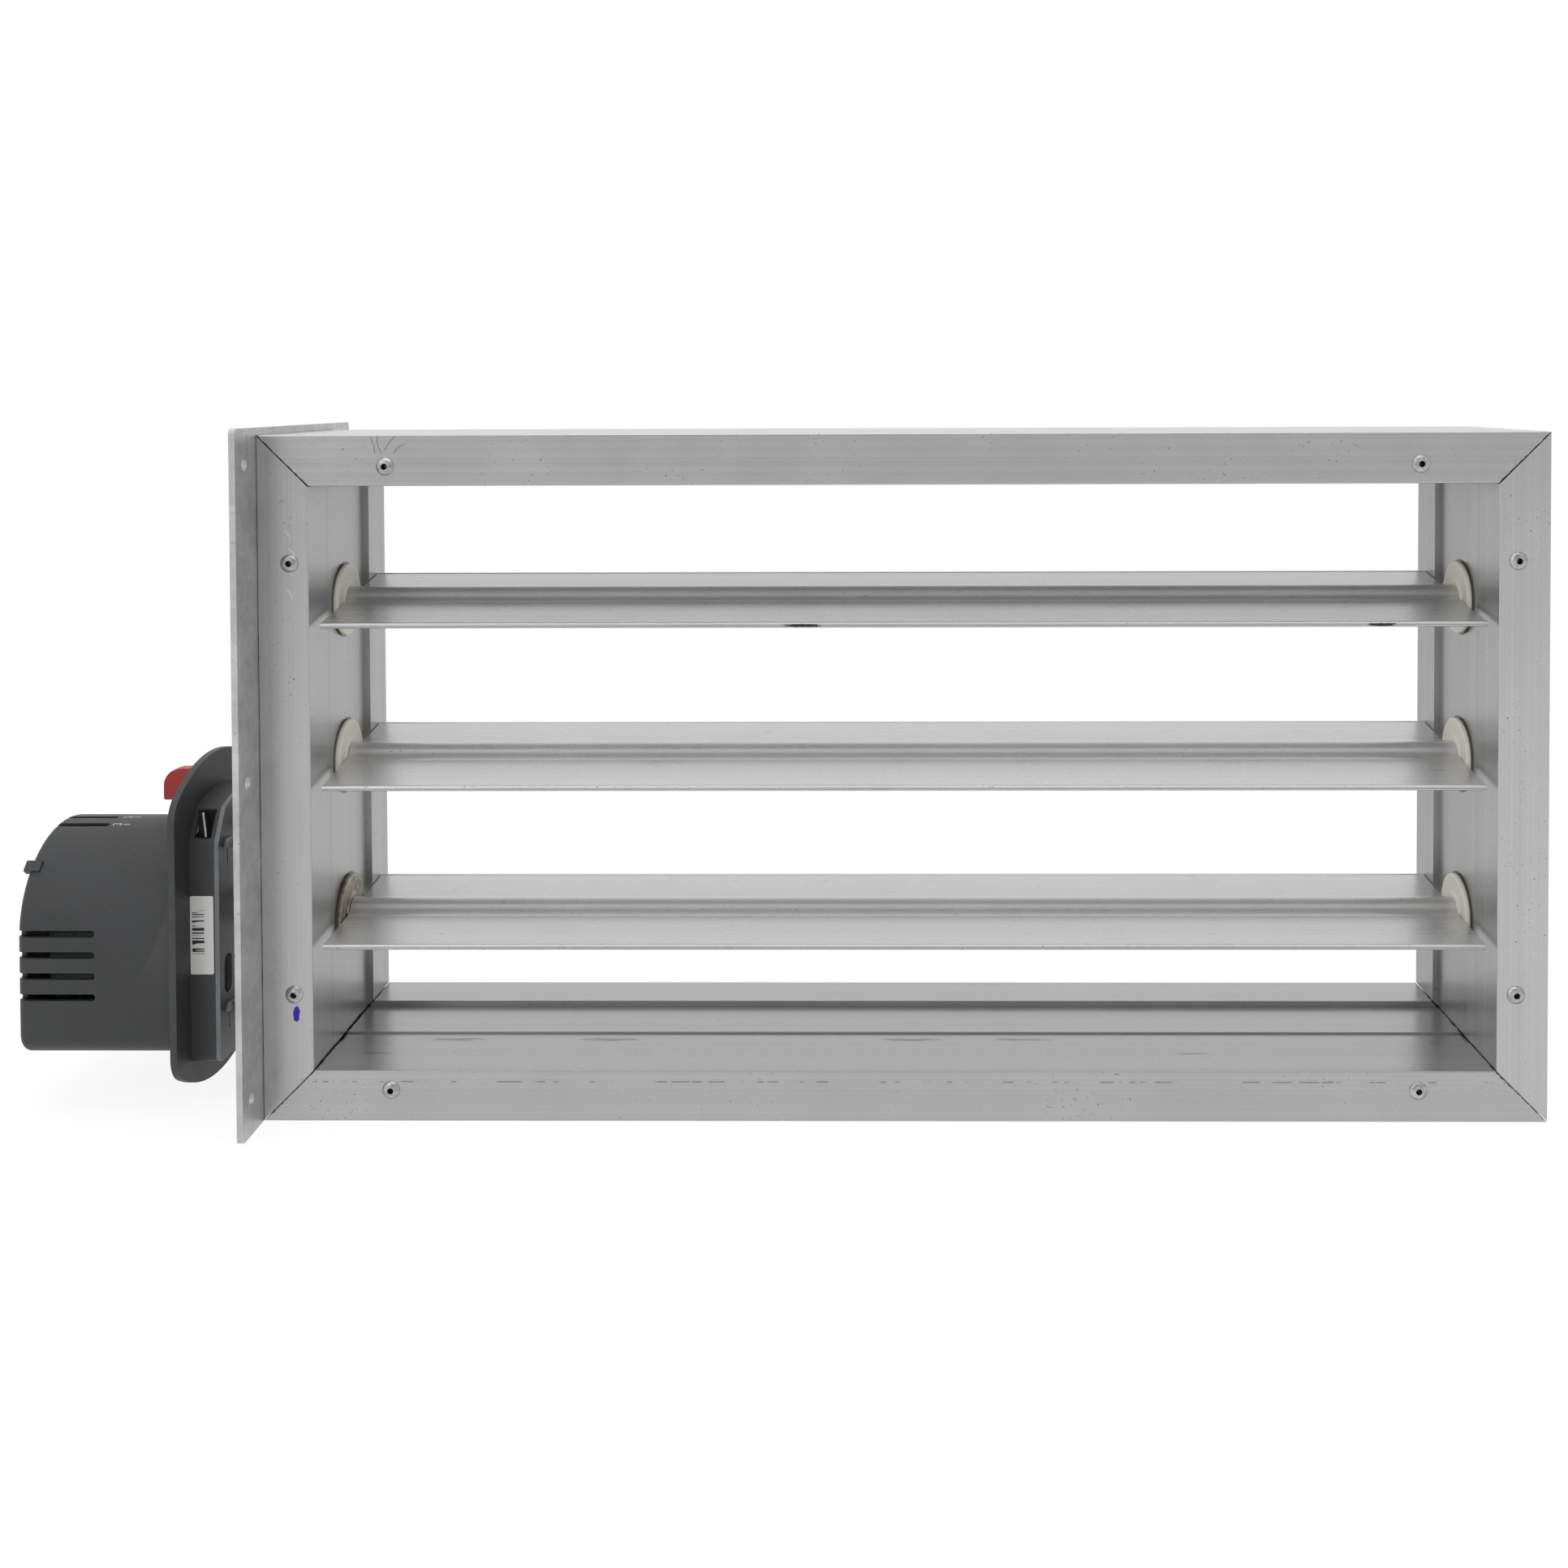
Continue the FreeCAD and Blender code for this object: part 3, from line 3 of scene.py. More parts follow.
import bmesh
import bpy
import numpy as np
from mathutils import Matrix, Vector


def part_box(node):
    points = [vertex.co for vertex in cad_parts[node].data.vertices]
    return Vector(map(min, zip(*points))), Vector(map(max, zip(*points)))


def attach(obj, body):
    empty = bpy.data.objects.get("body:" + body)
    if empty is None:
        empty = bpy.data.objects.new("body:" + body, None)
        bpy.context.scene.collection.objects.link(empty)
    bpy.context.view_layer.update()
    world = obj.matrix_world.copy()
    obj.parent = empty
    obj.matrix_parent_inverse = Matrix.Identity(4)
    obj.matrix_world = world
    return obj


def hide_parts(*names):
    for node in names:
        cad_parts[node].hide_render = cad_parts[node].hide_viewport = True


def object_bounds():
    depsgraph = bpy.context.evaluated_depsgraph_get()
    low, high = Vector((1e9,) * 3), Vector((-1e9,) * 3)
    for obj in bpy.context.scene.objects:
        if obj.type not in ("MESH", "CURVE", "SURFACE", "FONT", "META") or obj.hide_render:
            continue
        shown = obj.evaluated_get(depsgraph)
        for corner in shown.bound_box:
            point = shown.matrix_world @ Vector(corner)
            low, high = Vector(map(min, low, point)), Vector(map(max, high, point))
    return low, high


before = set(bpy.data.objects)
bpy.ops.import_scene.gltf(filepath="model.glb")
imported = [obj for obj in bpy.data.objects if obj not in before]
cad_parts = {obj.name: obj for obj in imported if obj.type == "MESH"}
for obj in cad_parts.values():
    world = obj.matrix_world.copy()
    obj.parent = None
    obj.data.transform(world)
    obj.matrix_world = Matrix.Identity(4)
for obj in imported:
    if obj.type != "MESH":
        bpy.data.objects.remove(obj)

# Zone damper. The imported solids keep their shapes. This script gives them their metal, nylon and
# moulded finishes, and makes the turned rivets, the rounded bushes, the label and the dial marks.

cad_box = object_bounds()
MM = 0.001

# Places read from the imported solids
RAIL_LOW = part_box("frame_bottom_rail")[0]
RAIL_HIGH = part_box("frame_top_rail")[1]
LEVER_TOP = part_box("setting_lever")[1].z
FRONT = RAIL_LOW.y
BACK = RAIL_HIGH.y

# Sizes shared with the solids
RAIL = 22.3 * MM
RAIL_WALL = 2 * MM
GUSSET = 1.6 * MM
PLATE = 2.7 * MM
RIVET_ALONG = 56 * MM
RIVET_INSET = 13.8 * MM
PLATE_RIVET_Y = 42 * MM
PLATE_RIVET_Z = 118 * MM
AXIS_Y = -3 * MM
AXES_Z = {"bottom": -74 * MM, "middle": -1.25 * MM, "top": 71.5 * MM}
DRIVE_Z = AXES_Z["bottom"]
AXLE_BORE = 4.04 * MM
SHAFT_BORE = 5.05 * MM
COVER_RADIUS = 43.5 * MM
LABEL_WALL_Y = AXIS_Y - 32 * MM

# Places of the marks. FACE_Y and INNER_FLOOR are in millimetres, as the ragged spots take them
DIE_LINE_Y = -25 * MM
SCUFF_Z = -134.9 * MM
GRIME_RADIUS = 16.9 * MM
# Centre and radius of the painted highlight on the cover, as seen from the front
FLARE_HIGHLIGHT_CENTRE = (-120 * MM, 0, -45 * MM)
FLARE_HIGHLIGHT_RADIUS = 76 * MM
FACE_Y = -50
INNER_FLOOR = -130.1

# Reaches that leave one axis out of a distance
FLAT_X = (1000, 1, 1)
FLAT_Y = (1, 1000, 1)

# Share of metal in the look of the extrusions
FRAME_METAL = 0.75
BLADE_METAL = 0.6

# Turns of the two scratch directions on a front face and on a top one
SCRATCH_TURNS = {"front": ((0, 0.7, 0), (0, -0.35, 0)), "top": ((0, 0, 0.5), (0, 0, -0.9))}


# Finishes

class Wire:
    """An output of a finish, with arithmetic that adds its Math nodes."""

    def __init__(self, finish, socket):
        self.finish = finish
        self.socket = socket

    def __add__(self, other):
        return self.finish.maths("ADD", self, other)

    def __radd__(self, other):
        return self.finish.maths("ADD", other, self)

    def __sub__(self, other):
        return self.finish.maths("SUBTRACT", self, other)

    def __rsub__(self, other):
        return self.finish.maths("SUBTRACT", other, self)

    def __mul__(self, other):
        return self.finish.maths("MULTIPLY", self, other)

    def __rmul__(self, other):
        return self.finish.maths("MULTIPLY", other, self)


class Finish:
    """A node tree while it is put together."""

    def __init__(self, tree):
        self.tree = tree
        tree.nodes.clear()

    def node(self, kind, settings=None, inputs=None, output=0):
        """Adds a node: its settings first, then a value or a wire for each input."""
        made = self.tree.nodes.new(kind)
        for name, value in (settings or {}).items():
            setattr(made, name, value)
        for name, value in (inputs or {}).items():
            if isinstance(value, Wire):
                self.tree.links.new(value.socket, made.inputs[name])
            else:
                made.inputs[name].default_value = value
        return Wire(self, made.outputs[output]) if made.outputs else None

    def maths(self, operation, first, second=0.0):
        """One Math node, for what Wire has no sign for."""
        return self.node("ShaderNodeMath", {"operation": operation}, {0: first, 1: second})

    def place(self):
        return self.node("ShaderNodeTexCoord", output="Object")

    def axis(self, letter):
        """Distance along one axis of the object."""
        return self.node("ShaderNodeSeparateXYZ", None, {0: self.place()}, output=letter)

    def grain(self, cell, detail=2.0, turn=(0, 0, 0)):
        """Noise round 0.5, its cells of the given size along each axis, after a turn."""
        moved = self.node("ShaderNodeMapping", {"vector_type": "TEXTURE"},
                          {"Vector": self.place(), "Rotation": turn, "Scale": cell})
        return self.node("ShaderNodeTexNoise", None, {"Vector": moved, "Scale": 1.0, "Detail": detail})

    def step(self, value, low, high):
        """Smooth rise from 0 at low to 1 at high."""
        return self.node("ShaderNodeMapRange", {"interpolation_type": "SMOOTHSTEP"},
                         {"Value": value, "From Min": low, "From Max": high})

    def band(self, value, middle, half, soft):
        """1 within half of the middle, falling to 0 over the soft width."""
        away = self.maths("ABSOLUTE", value - middle)
        return self.step(away, half + soft, half)

    def away(self, middle, reach=(1, 1, 1)):
        """Distance from a point, as a share of the reach along each axis."""
        moved = self.node("ShaderNodeMapping", {"vector_type": "TEXTURE"},
                          {"Vector": self.place(), "Location": middle, "Scale": reach})
        return self.node("ShaderNodeVectorMath", {"operation": "LENGTH"}, {0: moved}, output="Value")

    def spot(self, middle, reach, ragged=0.5, cell=(1.5 * MM, 1.5 * MM, 1.5 * MM)):
        """1 inside an ellipsoid with a ragged edge."""
        return self.step(self.away(middle, reach) + ragged * (self.grain(cell, 3) - 0.5), 1.0, 0.8)

    def mixed(self, factor, first, second):
        """First colour at factor 0, second one at factor 1."""
        return self.node("ShaderNodeMix", {"data_type": "RGBA"},
                         {0: factor, 6: first, 7: second}, output=2)

    def bump(self, height, depth, strength):
        """Relief of the given depth in metres."""
        return self.node("ShaderNodeBump", None,
                         {"Height": height, "Distance": depth, "Strength": strength})

    def surface(self, **inputs):
        """Principled shader, its inputs named with underscores for spaces."""
        named = {name.replace("_", " "): value for name, value in inputs.items()}
        return self.node("ShaderNodeBsdfPrincipled", None, named)

    def close(self, shader, kind="ShaderNodeOutputMaterial"):
        self.node(kind, None, {0: shader})


def new_finish(name):
    material = bpy.data.materials.new(name)
    material.use_nodes = True
    return material, Finish(material.node_tree)


def grey(level, warmth=0.0):
    """Colour of a grey level, warmed or cooled a little."""
    return (level * (1 + warmth), level, level * (1 - 1.5 * warmth), 1)


def drawn(along, length, width):
    """Cell size of a pattern drawn out along one axis."""
    return tuple(length if letter == along else width for letter in "XYZ")


def ragged_spot(middle, reach, ragged=0.9, cell=(1.5, 1.5, 1.5)):
    """Ragged spot on a surface, its places and sizes in millimetres."""
    middle, reach, cell = [tuple(value * MM for value in group) for group in (middle, reach, cell)]
    return lambda f: f.spot(middle, reach, ragged, cell)


def scratched(middle, radius, near, reach):
    """Part of a thin arc, its places and sizes in millimetres."""
    middle, near, reach = [tuple(value * MM for value in group) for group in (middle, near, reach)]
    return lambda f: f.band(f.away(middle), radius * MM, 0.1 * MM, 0.25 * MM) * f.spot(near, reach, 0.8)


def from_edge(f, letter, low, high):
    """Distance inwards from the nearer of the frame's two sides across one axis."""
    return (high - low) / 2 - f.maths("ABSOLUTE", f.axis(letter) - (low + high) / 2)


def mitre_joint_shade(f):
    """Ragged dark line on the corner joints, where the distances from two sides of the frame are equal.
    It is a dark joint line with painted shade, wider towards the inner corner, and broken along it."""
    from_side = from_edge(f, "X", RAIL_LOW.x, RAIL_HIGH.x)
    from_end = from_edge(f, "Z", RAIL_LOW.z, RAIL_HIGH.z)
    off = f.maths("ABSOLUTE", from_side - from_end)
    spread = 1.8 * MM * (f.grain((2 * MM,) * 3, 3) - 0.5) + 0.2 * MM * f.step(from_end, 0.3 * RAIL, RAIL)
    gaps = f.step(from_end, 0.96 * RAIL, RAIL) * f.step(f.grain((3 * MM, 5 * MM, 3 * MM), 2), 0.44, 0.5)
    return f.step(off - spread, 0.42 * MM, 0.12 * MM) * (1 - 0.85 * gaps)


def inner_wall(f):
    """1 on the jambs' inner walls and 0 on their outer ones."""
    return f.step(from_edge(f, "X", RAIL_LOW.x, RAIL_HIGH.x), 0.5 * RAIL, 0.8 * RAIL)


def bush_grime(f):
    """Oily rings on the jambs' inner walls round the bushes."""
    rings = 0.0
    for z in AXES_Z.values():
        rings = f.band(f.away((0, AXIS_Y, z), FLAT_X), GRIME_RADIUS, 0.25 * MM, 0.6 * MM) + rings
    return rings * inner_wall(f)


def die_line(f):
    """Line that the die left along the jambs' inner walls."""
    return f.band(f.axis("Y"), DIE_LINE_Y, 0.12 * MM, 0.35 * MM) * inner_wall(f)


def scuffed_row(f):
    """Broken line of scuffs along the front of the bottom rail."""
    row = f.band(f.axis("Z"), SCUFF_Z, 0.12 * MM, 0.35 * MM)
    return row * f.step(f.grain((5 * MM, 20 * MM, 20 * MM), 3), 0.48, 0.58)


def extruded_aluminium(name, along, level, face, marks=(), metal=FRAME_METAL, glance=1.0):
    """Mill-finish extrusion: die streaks, broad bands, clouds, fine scratches and dark specks,
    then its own marks, each a mask, its depth and its colour. Glance is how much a flat view of the
    metal reflects."""
    material, f = new_finish(name)
    streaks = f.grain(drawn(along, 3000 * MM, 1.4 * MM), 1)
    bands = f.grain(drawn(along, 2500 * MM, 8 * MM), 1)
    clouds = f.grain((36 * MM,) * 3, 4)
    shade = 0.5 + 0.7 * (streaks - 0.5) + 0.5 * (bands - 0.5) + 0.7 * (clouds - 0.5)
    colour = f.mixed(shade, grey(level * 0.86, 0.002), grey(level * 1.14, 0.002))
    scratches = 0.0
    for turn in SCRATCH_TURNS[face]:
        lines = f.grain((22 * MM, 0.3 * MM, 0.3 * MM), 1, turn)
        scratches = f.step(lines, 0.73, 0.78) + scratches
    colour = f.mixed(0.18 * scratches, colour, grey(level * 1.4))
    specks = f.step(f.grain((1.1 * MM,) * 3, 1), 0.71, 0.76) * f.step(clouds, 0.46, 0.58)
    colour = f.mixed(0.7 * specks, colour, grey(level * 0.22))
    for mask, depth, tone in marks:
        colour = f.mixed(depth * mask(f), colour, tone)
    roughness = 0.30 + 0.14 * (clouds - 0.5) + 0.1 * (streaks - 0.5) + 0.08 * scratches
    relief = f.bump(streaks + 0.5 * scratches, 0.01 * MM, 0.3)
    f.close(f.surface(Base_Color=colour, Metallic=metal, Roughness=roughness, Normal=relief,
                      Specular_Tint=grey(glance)))
    return material


def zinc_sheet(name, level, warmth):
    """Zinc-plated sheet: small crystal patches, a faint brushing and dull stains."""
    material, f = new_finish(name)
    cells = f.node("ShaderNodeTexVoronoi", {"feature": "F1"},
                   {"Vector": f.place(), "Scale": 260.0}, output="Color")
    patch = f.node("ShaderNodeSeparateColor", None, {0: cells})
    brushing = f.grain((30 * MM, 0.5 * MM, 30 * MM), 2)
    stains = f.grain((22 * MM,) * 3, 4)
    shade = 0.5 + 0.22 * (patch - 0.5) + 0.5 * (brushing - 0.5) + 1.2 * (stains - 0.5)
    colour = f.mixed(shade, grey(level * 0.7, warmth), grey(level * 1.3, warmth))
    specks = f.step(f.grain((2.2 * MM,) * 3, 1), 0.68, 0.76)
    colour = f.mixed(0.45 * specks, colour, grey(level * 0.35))
    roughness = 0.44 + 0.3 * (stains - 0.5)
    f.close(f.surface(Base_Color=colour, Metallic=0.75, Roughness=roughness,
                      Normal=f.bump(stains + 0.3 * brushing, 0.05 * MM, 0.5)))
    return material


def turned_metal(name, light, dark, rough):
    """Turned or drawn steel: fine clouds between a light and a dark tone."""
    material, f = new_finish(name)
    clouds = f.grain((2.5 * MM,) * 3, 4)
    fine = f.grain((0.25 * MM,) * 3, 2)
    colour = f.mixed(f.step(clouds, 0.3, 0.7), dark, light)
    f.close(f.surface(Base_Color=colour, Metallic=1.0, Roughness=rough + 0.25 * (clouds - 0.5),
                      Normal=f.bump(fine, 0.02 * MM, 0.4)))
    return material


def painted_flare_highlight(f):
    """Painted highlight on the cover's side where it widens towards the rim, outside a wide arc seen from
    the front.
    """
    far = f.away(FLARE_HIGHLIGHT_CENTRE, FLAT_Y)
    return f.step(far, FLARE_HIGHLIGHT_RADIUS, FLARE_HIGHLIGHT_RADIUS + 3 * MM) * f.step(f.axis("Z"), -98 * MM, -78 * MM)


def moulded(name, light, dark, rough, grain_depth, specular=0.5, flare_highlight=None):
    """Moulded plastic: a fine spark-eroded grain, soft shade changes, a few dust specks and, on the
    cover, a painted highlight where it widens towards the rim."""
    material, f = new_finish(name)
    clouds = f.grain((30 * MM,) * 3, 3)
    grain = f.grain((0.42 * MM,) * 3, 2)
    dust = f.step(f.grain((1.1 * MM,) * 3, 0), 0.80, 0.86)
    colour = f.mixed(f.step(clouds, 0.3, 0.7), dark, light)
    colour = f.mixed(0.12 * dust, colour, grey(0.35))
    if flare_highlight is not None:
        # Painted highlight: the cover is made lighter where it widens towards the rim
        colour = f.mixed(0.22 * flare_highlight(f), colour, grey(0.12))
    roughness = rough + 0.2 * (clouds - 0.5)
    f.close(f.surface(Base_Color=colour, Roughness=roughness, Specular_IOR_Level=specular,
                      Normal=f.bump(grain, grain_depth, 0.6)))
    return material


def red_with_painted_top(name):
    """Red moulding, painted paler on its top 3 mm, in cloudy patches: a painted highlight."""
    material, f = new_finish(name)
    clouds = f.grain((5 * MM,) * 3, 3)
    colour = f.mixed(f.step(clouds, 0.3, 0.7), (0.33, 0.012, 0.010, 1), (0.43, 0.018, 0.014, 1))
    # Painted highlight: the lever's top is made paler
    painted_top_highlight = f.step(f.axis("Z"), LEVER_TOP - 3 * MM, LEVER_TOP) * f.step(clouds, 0.4, 0.6)
    colour = f.mixed(0.25 * painted_top_highlight, colour, (0.60, 0.08, 0.06, 1))
    f.close(f.surface(Base_Color=colour, Roughness=0.38 + 0.2 * (clouds - 0.5),
                      Normal=f.bump(f.grain((0.3 * MM,) * 3, 2), 0.02 * MM, 0.5)))
    return material


def tarnished_bronze(name):
    """Sintered bronze: brown oil stains over a fine grain."""
    material, f = new_finish(name)
    stains = f.grain((4 * MM,) * 3, 4)
    colour = f.mixed(f.step(stains, 0.35, 0.65), (0.24, 0.205, 0.17, 1), (0.42, 0.38, 0.33, 1))
    f.close(f.surface(Base_Color=colour, Metallic=0.9, Roughness=0.42 + 0.3 * (stains - 0.5),
                      Normal=f.bump(f.grain((0.2 * MM,) * 3, 2), 0.03 * MM, 0.5)))
    return material


def circuit_green_and_shade(name):
    """Lacquered board: darker and lighter tracks in straight runs, its green darkened as painted shade
    inside the housing.
    """
    material, f = new_finish(name)
    runs = f.grain((12 * MM, 20 * MM, 1.1 * MM), 0)
    rises = f.grain((1.4 * MM, 20 * MM, 9 * MM), 0)
    tracks = f.maths("MAXIMUM", f.band(runs, 0.5, 0.03, 0.01), f.band(rises, 0.5, 0.03, 0.01))
    # Both greens are darkened: painted shade for the board seen through the vents
    colour = f.mixed(tracks, (0.006, 0.022, 0.010, 1), (0.014, 0.055, 0.024, 1))
    f.close(f.surface(Base_Color=colour, Roughness=0.3 + 0.1 * tracks,
                      Normal=f.bump(tracks, 0.05 * MM, 0.6)))
    return material


def striped_label(name, x_range, z_range):
    """White label with a made-up run of bars across it and a faint paper mottle."""
    material, f = new_finish(name)
    paper = f.grain((3 * MM,) * 3, 3)
    colour = f.mixed(paper, grey(0.80, 0.01), grey(0.88, 0.01))
    bars = f.step(f.grain((40 * MM, 40 * MM, 0.9 * MM), 0), 0.49, 0.51)
    across = f.band(f.axis("X"), sum(x_range) / 2, (x_range[1] - x_range[0]) / 2, 0.05 * MM)
    along = f.band(f.axis("Z"), sum(z_range) / 2, (z_range[1] - z_range[0]) / 2, 0.05 * MM)
    colour = f.mixed(bars * across * along, colour, grey(0.03))
    f.close(f.surface(Base_Color=colour, Roughness=0.42 + 0.1 * (paper - 0.5)))
    return material


def printed_white(name):
    """Pad-printed white ink, thin in places."""
    material, f = new_finish(name)
    wear = f.step(f.grain((0.5 * MM,) * 3, 3), 0.3, 0.6)
    f.close(f.surface(Base_Color=f.mixed(wear, grey(0.35), grey(0.68)), Roughness=0.5 + 0.1 * wear))
    return material


# Shapes

def solid_mesh(name, points, faces, sharp=35):
    """Mesh with its doubled points merged, its faces turned outwards and its corners kept sharp."""
    mesh = bpy.data.meshes.new(name)
    mesh.from_pydata(points.reshape(-1, 3).tolist(), [], faces.reshape(-1, faces.shape[-1]).tolist())
    work = bmesh.new()
    work.from_mesh(mesh)
    bmesh.ops.remove_doubles(work, verts=work.verts, dist=1e-6)
    bmesh.ops.recalc_face_normals(work, faces=work.faces)
    work.to_mesh(mesh)
    work.free()
    mesh.shade_smooth()
    mesh.set_sharp_from_angle(angle=math.radians(sharp))
    return mesh


def grid_faces(rows, columns, closed):
    """Quads of a grid of points, joined round its columns when it is closed."""
    row = np.arange(rows - 1)[:, None]
    column = np.arange(columns if closed else columns - 1)[None, :]
    after = (column + 1) % columns
    low, high = row * columns, (row + 1) * columns
    return np.stack([low + column, low + after, high + after, high + column], axis=-1).reshape(-1, 4)


def sheet_between(name, front, back):
    """Closed mesh between two grids of points with the same rows and columns. Each row runs along the
    front and returns along the back, and the first and the last row are filled."""
    rows, columns = front.shape[:2]
    points = np.concatenate([front, back[:, ::-1]], axis=1)
    start = np.array([[0], [(rows - 1) * 2 * columns]])
    i = np.arange(columns - 1)[None, :]
    last = start + 2 * columns - 1 - i
    ends = np.stack([start + i, start + i + 1, last - 1, last], -1)
    faces = np.concatenate([grid_faces(rows, 2 * columns, True), ends.reshape(-1, 4)])
    return solid_mesh(name, points, faces)


def turned(name, profile, centres, axis, side, steps=40):
    """Turned solids. A profile point of radius r and height h goes to
    centre + h * axis + r * (cos t * side + sin t * (axis x side)), for t round a full turn."""
    radius, height = np.array(profile, float).T
    t = np.linspace(0, 2 * np.pi, steps, endpoint=False)
    axis, side = np.array(axis, float), np.array(side, float)
    round_axis = np.cos(t)[:, None] * side + np.sin(t)[:, None] * np.cross(axis, side)
    ring = height[:, None, None] * axis + radius[:, None, None] * round_axis
    centres = np.array(centres, float)
    points = centres[:, None, None, :] + ring[None]
    faces = grid_faces(len(radius), steps, True)
    copies = np.arange(len(centres))[:, None, None] * (len(radius) * steps)
    return solid_mesh(name, points, faces[None] + copies)


def rounded(corner, radius, start, end, steps=5):
    """Points of a round corner: centre + radius * (cos a, sin a), for a from start to end in degrees."""
    a = np.radians(np.linspace(start, end, steps))
    return [(corner[0] + radius * math.cos(x), corner[1] + radius * math.sin(x)) for x in a]


def add_piece(name, mesh, finish, body, slot, *nodes):
    """Puts a mesh into the scene on a body, in place of the nodes named."""
    piece = bpy.data.objects.new(name, mesh)
    bpy.context.scene.collection.objects.link(piece)
    piece.data.materials.append(finish)
    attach(piece, body)
    if nodes:
        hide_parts(*nodes)
    return piece


# Rivets

def rivet_profile(grip):
    """Blind rivet from the bottom of its hole over the ringed dome to the bulb's end."""
    mm = [(0, -1.9), (1.26, -1.9), (1.28, 1.28), (1.36, 1.44),
          (1.5, 1.5), (1.68, 1.47), (1.78, 1.38), (1.86, 1.35), (1.98, 1.38), (2.3, 1.33), (2.7, 1.18),
          (3.1, 0.96), (3.45, 0.68), (3.72, 0.4), (3.86, 0.2), (3.9, 0.06), (3.86, 0), (2.0, 0),
          (2.0, -grip), (2.6, -grip - 0.1), (2.9, -grip - 0.6), (2.9, -grip - 1.9), (2.5, -grip - 2.4),
          (1.5, -grip - 2.6), (0, -grip - 2.6)]
    return [(r * MM, h * MM) for r, h in mm]


def mandrel_profile():
    """Broken end of the mandrel, sunk in the rivet's hole."""
    mm = [(0, -0.35), (0.4, -0.3), (0.8, -0.5), (1.1, -0.8), (1.2, -1.2), (1.2, -1.8), (0, -1.8)]
    return [(r * MM, h * MM) for r, h in mm]


def corner_rivet_centres(y):
    """Two rivets at each corner of the frame, one on the rail and one on the jamb."""
    centres = []
    for x, to_x in ((RAIL_LOW.x, 1), (RAIL_HIGH.x, -1)):
        for z, to_z in ((RAIL_LOW.z, 1), (RAIL_HIGH.z, -1)):
            centres.append((x + to_x * RIVET_ALONG, y, z + to_z * RIVET_INSET))
            centres.append((x + to_x * RIVET_INSET, y, z + to_z * RIVET_ALONG))
    return centres


def make_rivets(finish, mandrel_finish):
    """The rivets of the frame's two faces and of the plate, each row with its mandrels."""
    wall_grip = (RAIL_WALL + GUSSET) / MM
    plate_grip = (PLATE + RAIL_WALL) / MM
    plate_centres = [(-PLATE, y, z) for y in (-PLATE_RIVET_Y, PLATE_RIVET_Y)
                     for z in (-PLATE_RIVET_Z, 0, PLATE_RIVET_Z)]
    rows = (("corner_rivets_front", wall_grip, corner_rivet_centres(FRONT), (0, -1, 0), (1, 0, 0)),
            ("corner_rivets_back", wall_grip, corner_rivet_centres(BACK), (0, 1, 0), (1, 0, 0)),
            ("plate_rivets", plate_grip, plate_centres, (-1, 0, 0), (0, 1, 0)))
    for node, grip, centres, axis, side in rows:
        mesh = turned(node + "_turned", rivet_profile(grip), centres, axis, side)
        add_piece(node + "_turned", mesh, finish, "frame", "rivet_metal", node)
        mandrels = turned(node + "_mandrels", mandrel_profile(), centres, axis, side, 24)
        add_piece(node + "_mandrels", mandrels, mandrel_finish, "frame", "rivet_metal")


# Bushes

def bush_profile(bore):
    """Flanged bush: bore, raised ring, dished flange with a rounded edge and an undercut, and spigot."""
    bore = bore / MM
    points = [(bore, -5), (bore, 2.6)] + rounded((bore + 0.3, 2.6), 0.3, 180, 90, 4)
    points += rounded((7.7, 2.4), 0.5, 90, 0, 5) + [(8.45, 2.3), (9.2, 2.26), (12.5, 2.42), (14.6, 2.56)]
    points += rounded((15.6, 1.7), 0.9, 90, 0, 6) + rounded((16.2, 0.85), 0.3, 0, -90, 4)
    points += [(15.5, 0.5), (15.4, 0), (8, 0), (8, -4.6), (7.6, -5), (bore, -5)]
    return [(r * MM, h * MM) for r, h in points]


def make_bushes(nylon, bronze):
    """Six bushes, the one at the drive shaft bronze."""
    for level, z in AXES_Z.items():
        near_bore = SHAFT_BORE if level == "bottom" else AXLE_BORE
        sides = (("near", near_bore, RAIL, (1, 0, 0)), ("far", AXLE_BORE, RAIL_HIGH.x - RAIL, (-1, 0, 0)))
        for side, bore, x, axis in sides:
            node = f"{side}_bush_{level}"
            bronze_one = node == "near_bush_bottom"
            mesh = turned(node + "_rounded", bush_profile(bore), [(x, AXIS_Y, z)], axis, (0, 1, 0), 72)
            add_piece(node + "_rounded", mesh, bronze if bronze_one else nylon, "frame",
                      "bronze" if bronze_one else "nylon", node)


# Label, dial marks and clip recess

RECESS_X = (-36.3 * MM, -28.5 * MM)
RECESS_Z = (-32.2 * MM, -20.6 * MM)
RECESS_Y = -28.6 * MM
RECESS_DEPTH = 1 * MM

LABEL_X = (-37.9 * MM, -27.4 * MM)
LABEL_Z = (-92.9 * MM, -57.6 * MM)
LABEL_CORNER = 0.8 * MM
LABEL_THICKNESS = 0.1 * MM


